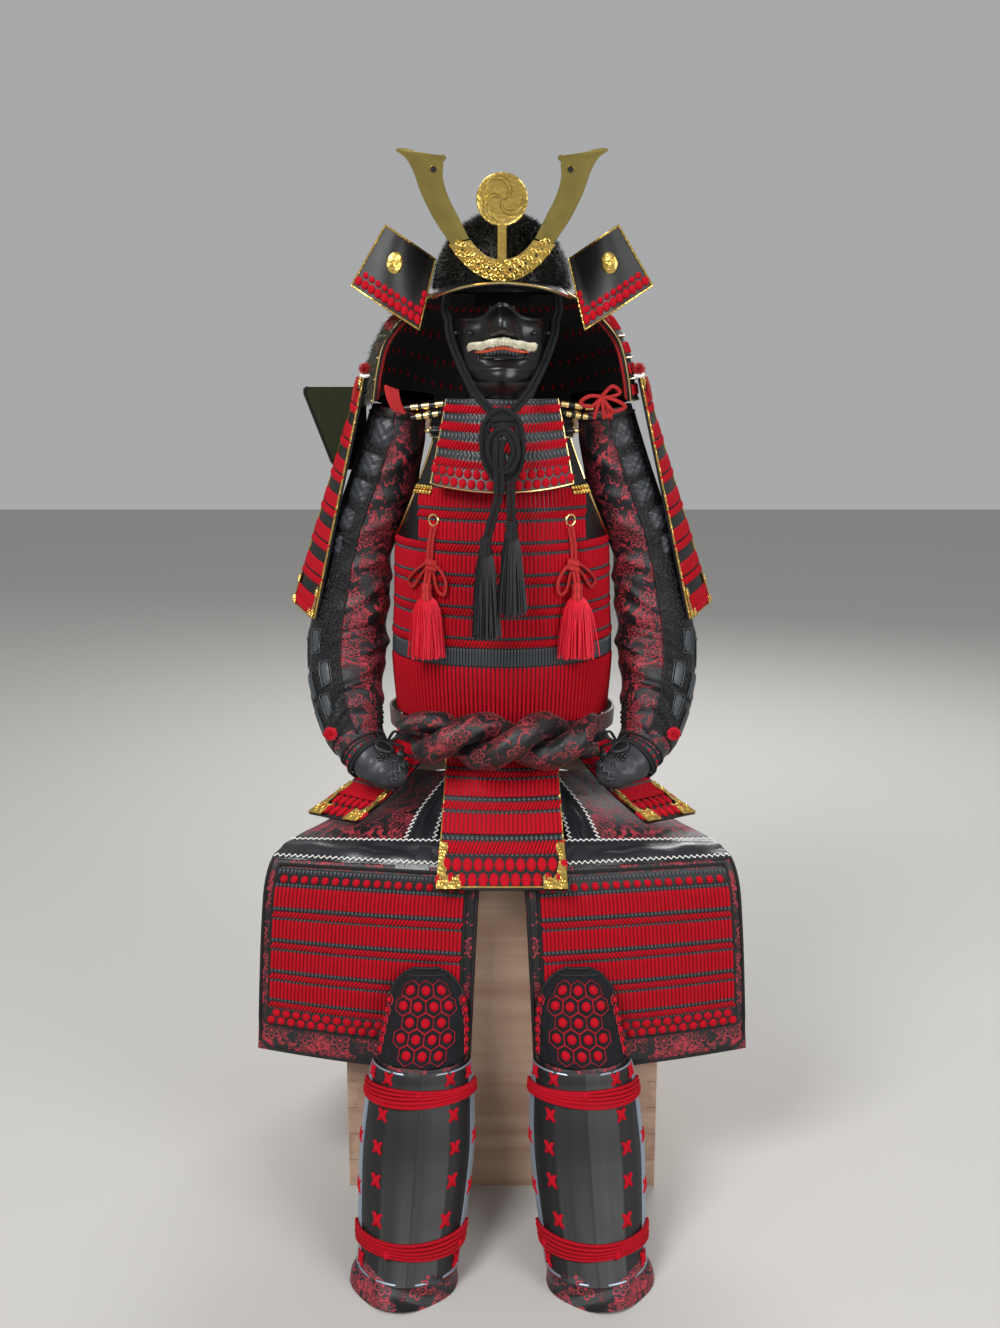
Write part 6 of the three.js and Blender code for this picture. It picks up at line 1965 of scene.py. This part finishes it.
def make_crest():
    x = np.linspace(-72, 72, 49)
    under = np.stack([x, 1329.4 + 48.1 * np.abs(x / 72) ** 2.2], -1)
    inner_x = np.linspace(-44, 44, 49)
    over = np.stack([inner_x, 1357 + 26 * np.abs(inner_x / 44) ** 2.4], -1)
    base = Shape()
    crest_sheet(base, (under, over), CREST_Y, steps_in=6)
    for cx in np.linspace(-60, 60, 21):
        middle = 1343.5 + 36 * (abs(cx) / 62) ** 2.2
        for level in (-7, 6):
            z = middle + level + (2.5 if round(cx / 6) % 2 else -2.5)
            turn = np.linspace(0, 6.6, 16) * (1 if cx > 0 else -1) + level
            radius = 5.4 - 0.72 * np.abs(turn - level)
            path = [crest_face(cx + r * math.cos(a), z + r * math.sin(a), 1.6) for a, r in zip(turn, radius)]
            rod(base, path, 1.15, 5)
            set_on(base, button(3.4, 3.4, 2.4, 2, 7), crest_plane, cx, z, 1, 1.0)
    holes = Shape()
    for cx in np.linspace(-54, 54, 16):
        z = 1343.5 + 36 * (abs(cx) / 62) ** 2.2
        set_on(holes, button(3.6, 4.6, 0.3, 1, 7), crest_plane, cx, z, 1, 1.15)
    holes.make("crest_base_holes", BLACK, "black_lacquer")
    base.make("crest_base_brass", GOLD, "brass", "crest_base")
    outer = [(-69, 1378.5), (-92, 1412), (-109, 1446), (-119, 1474), (-129, 1490), (-141, 1499), (-126, 1499),
             (-112, 1494), (-100, 1486)]
    inner = [(-46, 1385), (-60, 1412), (-75, 1442), (-81, 1466), (-80, 1479), (-80, 1484), (-76, 1489),
             (-79, 1492),
             (-90, 1484)]
    for name, sign in SIDES:
        horn = Shape()
        sides = []
        for edge in (outer, inner):
            path = smooth_path([(a, 0, b) for a, b in edge], 40)
            sides.append(path[:, [0, 2]])
        crest_sheet(horn, sides, CREST_Y, steps_in=6)
        ring = [crest_face(-92 + 4.6 * math.cos(a), 1474 + 4.6 * math.sin(a),
                           1.2) for a in np.linspace(0, 2 * math.pi, 17)]
        rod(horn, ring, 0.9, 6, closed=True, ends=False)
        horn.mirrored(sign).make(f"crest_horn_{name}_brass", BRASS, "brass", f"crest_horn_{name}")
        eye = Shape()
        middle = crest_face(-92, 1474, 1.4)
        ring = [middle] + [middle + [4 * math.cos(a), 0, 4 * math.sin(a)] for a in np.linspace(0, 2 * math.pi,
                                                                                               13)[:-1]]
        eye.add(ring, [(0, 1 + k, 1 + (k + 1) % 12) for k in range(12)])
        eye.mirrored(sign).make(f"crest_eye_{name}", BLACK, "black_lacquer")
    disc = Shape()
    zc, r = CREST_DISC["z"], CREST_DISC["radius"]
    rings = []
    for share, out in ((1.0, -2.0), (1.0, 0.6), (0.96, 1.6), (0.9, 0.9), (0.5, 0.7), (0.02, 0.7)):
        rings.append([crest_face(r * share * math.cos(a), zc + r * share * math.sin(a), out)
                      for a in np.linspace(0, 2 * math.pi, 48, endpoint=False)])
    back = [[crest_face(r * share * math.cos(a), zc + r * share * math.sin(a), -2.0)
             for a in np.linspace(0, 2 * math.pi, 48, endpoint=False)] for share in (0.02, 1.0)]
    disc.add(np.array(back + rings[1:]), grid_faces(48, 7, wrap=True)[:, ::-1])
    box = [crest_face(x, z, out) for z in (1352, zc - r + 2) for out in (-1.5, 1.5) for x in (-6, 6)]
    disc.add(np.array(box),
             [(0, 1, 3, 2), (4, 6, 7, 5), (0, 4, 5, 1), (2, 3, 7, 6), (0, 2, 6, 4), (1, 5, 7, 3)])
    disc.make("crest_disc_brass", GOLD, "brass", "crest_disc")
    swirl = Shape()
    for k in range(3):
        turn = 2 * math.pi * k / 3
        for inner, outer, sweep in ((1.0, 31.5, 2.15), (5.5, 29.0, 2.0)):
            share = np.linspace(0, 1, 24)
            radius = lerp(inner, outer, np.sin(share * math.pi / 2))
            angle = turn + sweep * share**1.15 + (0.55 if inner > 2 else 0)
            path = [crest_face(r * math.cos(a), zc + r * math.sin(a), 0.9) for a, r in zip(angle, radius)]
            rod(swirl, path, 0.75, 4)
    swirl.make("crest_disc_swirl", BRASS, "brass")


make_helmet()
make_turnbacks()
make_neck_guard()
make_crest()


# Face mask and throat guard
def make_mask():
    us = np.unique(np.concatenate([steps(46), np.linspace(0.36, 0.64, 40)]))

    def detail(u, v):
        degrees = (u - 0.5) * 2 * MASK_REACH
        side = np.abs(degrees)
        fold = 2.4 * bump((side - 17 - 26 * np.clip(0.72 - v, 0, 1)) / 3.2) * bump((v - 0.62) / 0.12)
        nostril = 3.0 * bump((side - 9) / 4.5) * bump((v - 0.655) / 0.035)
        jaw = 2.2 * bump((side - 52) / 5) * bump((v - 0.38) / 0.3)
        wrinkle = 1.3 * np.sin(v * 70) * bump((side - 34) / 9) * bump((v - 0.4) / 0.1)
        open_mouth = -7.0 * bump(degrees / 30) ** 2 * bump((v - 0.43) / 0.05)
        chin_line = 1.8 * bump((v - 0.30) / 0.018) * bump(degrees / 30)
        rim = 1.6 * bump((v - 0.985) / 0.02) + 1.4 * bump((v - 0.012) / 0.015)
        return fold + nostril + jaw + wrinkle + open_mouth + chin_line + rim

    shell(mask_point, us, steps(90), PLATE, rise=detail).make("mask_lacquer", MASK_BLACK, "black_lacquer",
                                                              "mask", sharp=60)
    def surface(u, v):
        return mask_point(u, v) + normals(mask_point, u, v) * detail(u, v)[..., None]

    lip = Shape()
    s = np.linspace(-1, 1, 30)
    u, v = 0.5 + 0.2 * s, 0.488 - 0.004 * s * s
    rod(lip, surface(u, v) + normals(mask_point, u, v) * 2.6, 2.8 * (1 - 0.6 * s**4), 8)
    lip.make("mask_lips", LIP, "red_lacing", sharp=80)
    teeth = Shape()
    for k in range(9):
        set_on(teeth, button(5.6, 7.0, 2.6, 3, 8), mask_point, 0.5 + (k - 4) * 0.029, 0.452, 111, 0.4)
    teeth.make("mask_teeth", SCALE_HEAD, "black_lacquer", sharp=70)
    creases = Shape()
    for side in (-1, 1):
        line = [(0.5 + side * (0.205 - 0.02 * t), lerp(0.5, 0.385, t)) for t in np.linspace(0, 1, 12)]
        u, v = np.array(line).T
        rod(creases, surface(u, v) + normals(mask_point, u, v) * 0.8, 2.2 * np.sin(np.linspace(0.5, 2.8, 12)),
            8)
    s = np.linspace(-1, 1, 24)
    u, v = 0.5 + 0.17 * s, 0.405 + 0.012 * s * s
    rod(creases, surface(u, v) + normals(mask_point, u, v) * 1.2, 2.4 * (1 - 0.5 * s**4), 8)
    creases.make("mask_creases", MASK_BLACK, "black_lacquer", sharp=80)
    studs = Shape()
    for u in (0.29, 0.71, 0.12, 0.88):
        set_on(studs, button(8, 8, 4.5, 4, 12), mask_point, u, 0.72, 111, 0.6)
    studs.make("mask_studs", BLACK, "black_lacquer")
    count = 5200
    u = 0.5 + rng.uniform(-1, 1, count) * 0.225
    v = 0.535 + rng.uniform(0, 0.065, count) + 0.005 * np.sin((u - 0.5) * 60) + 0.006 * np.cos((u - 0.5) * 9)
    root = mask_point(u, v) + normals(mask_point, u, v) * rng.uniform(1.5, 6.5, count)[:, None]
    n = normals(mask_point, u, v)
    out = np.stack([(u - 0.5) * 2.2, np.full(count, -0.5), -0.8 - 0.3 * np.sin((u - 0.5) * 75)], -1)
    out += n * 0.3 + rng.normal(0, 0.22, (count, 3))
    out /= np.linalg.norm(out, axis=1, keepdims=True)
    hairs = Shape()
    tufts(hairs, root, out, rng.uniform(4, 7.5, count), 0.42)
    hairs.make("moustache_hair", HAIR, "white_hair", "moustache", sharp=80)


def make_throat_guard():
    rows = [("bead", 8), ("twist", 10), ("bead", 12), ("twist", 11), ("bead", 12), ("twist", 11),
            ("bead", 12),
            ("twist", 10), ("knots", 12), ("knots", 12), ("plain", 3)]
    shell(throat_point, steps(30), steps(40), PLATE).make("throat_guard_plate", BLACK, "black_lacquer",
                                                          "throat_guard")
    Lacing(throat_point, rows, bead=6.4, knot=13).make("throat_guard")
    gold = Shape()
    edging(gold, throat_point, [(0.004, 0.99), (0.004, 0.01), (0.996, 0.01), (0.996, 0.99)], 1.4, 120, 0.6)
    gold.make("throat_guard_rim", GOLD_EDGE, "brass")


make_mask()
make_throat_guard()


# Floor and surroundings
def make_surroundings():
    world = bpy.data.worlds.new("pale_room")
    world.use_nodes = True
    world.node_tree.nodes["Background"].inputs[0].default_value = (0.93, 0.94, 0.95, 1)
    world.node_tree.nodes["Background"].inputs[1].default_value = 0.42
    bpy.context.scene.view_settings.view_transform = "Standard"
    bpy.context.scene.world = world
    mesh = bpy.data.meshes.new("floor")
    size = 8
    mesh.from_pydata([(-size, -size, 0), (size, -size, 0), (size, size, 0), (-size, size, 0)], [],
                     [(0, 1, 2, 3)])
    mesh.materials.append(plain("pale_floor", (0.5, 0.49, 0.47), 0.8))
    floor = bpy.data.objects.new("floor", mesh)
    bpy.context.scene.collection.objects.link(floor)


make_surroundings()

bpy.context.view_layer.update()
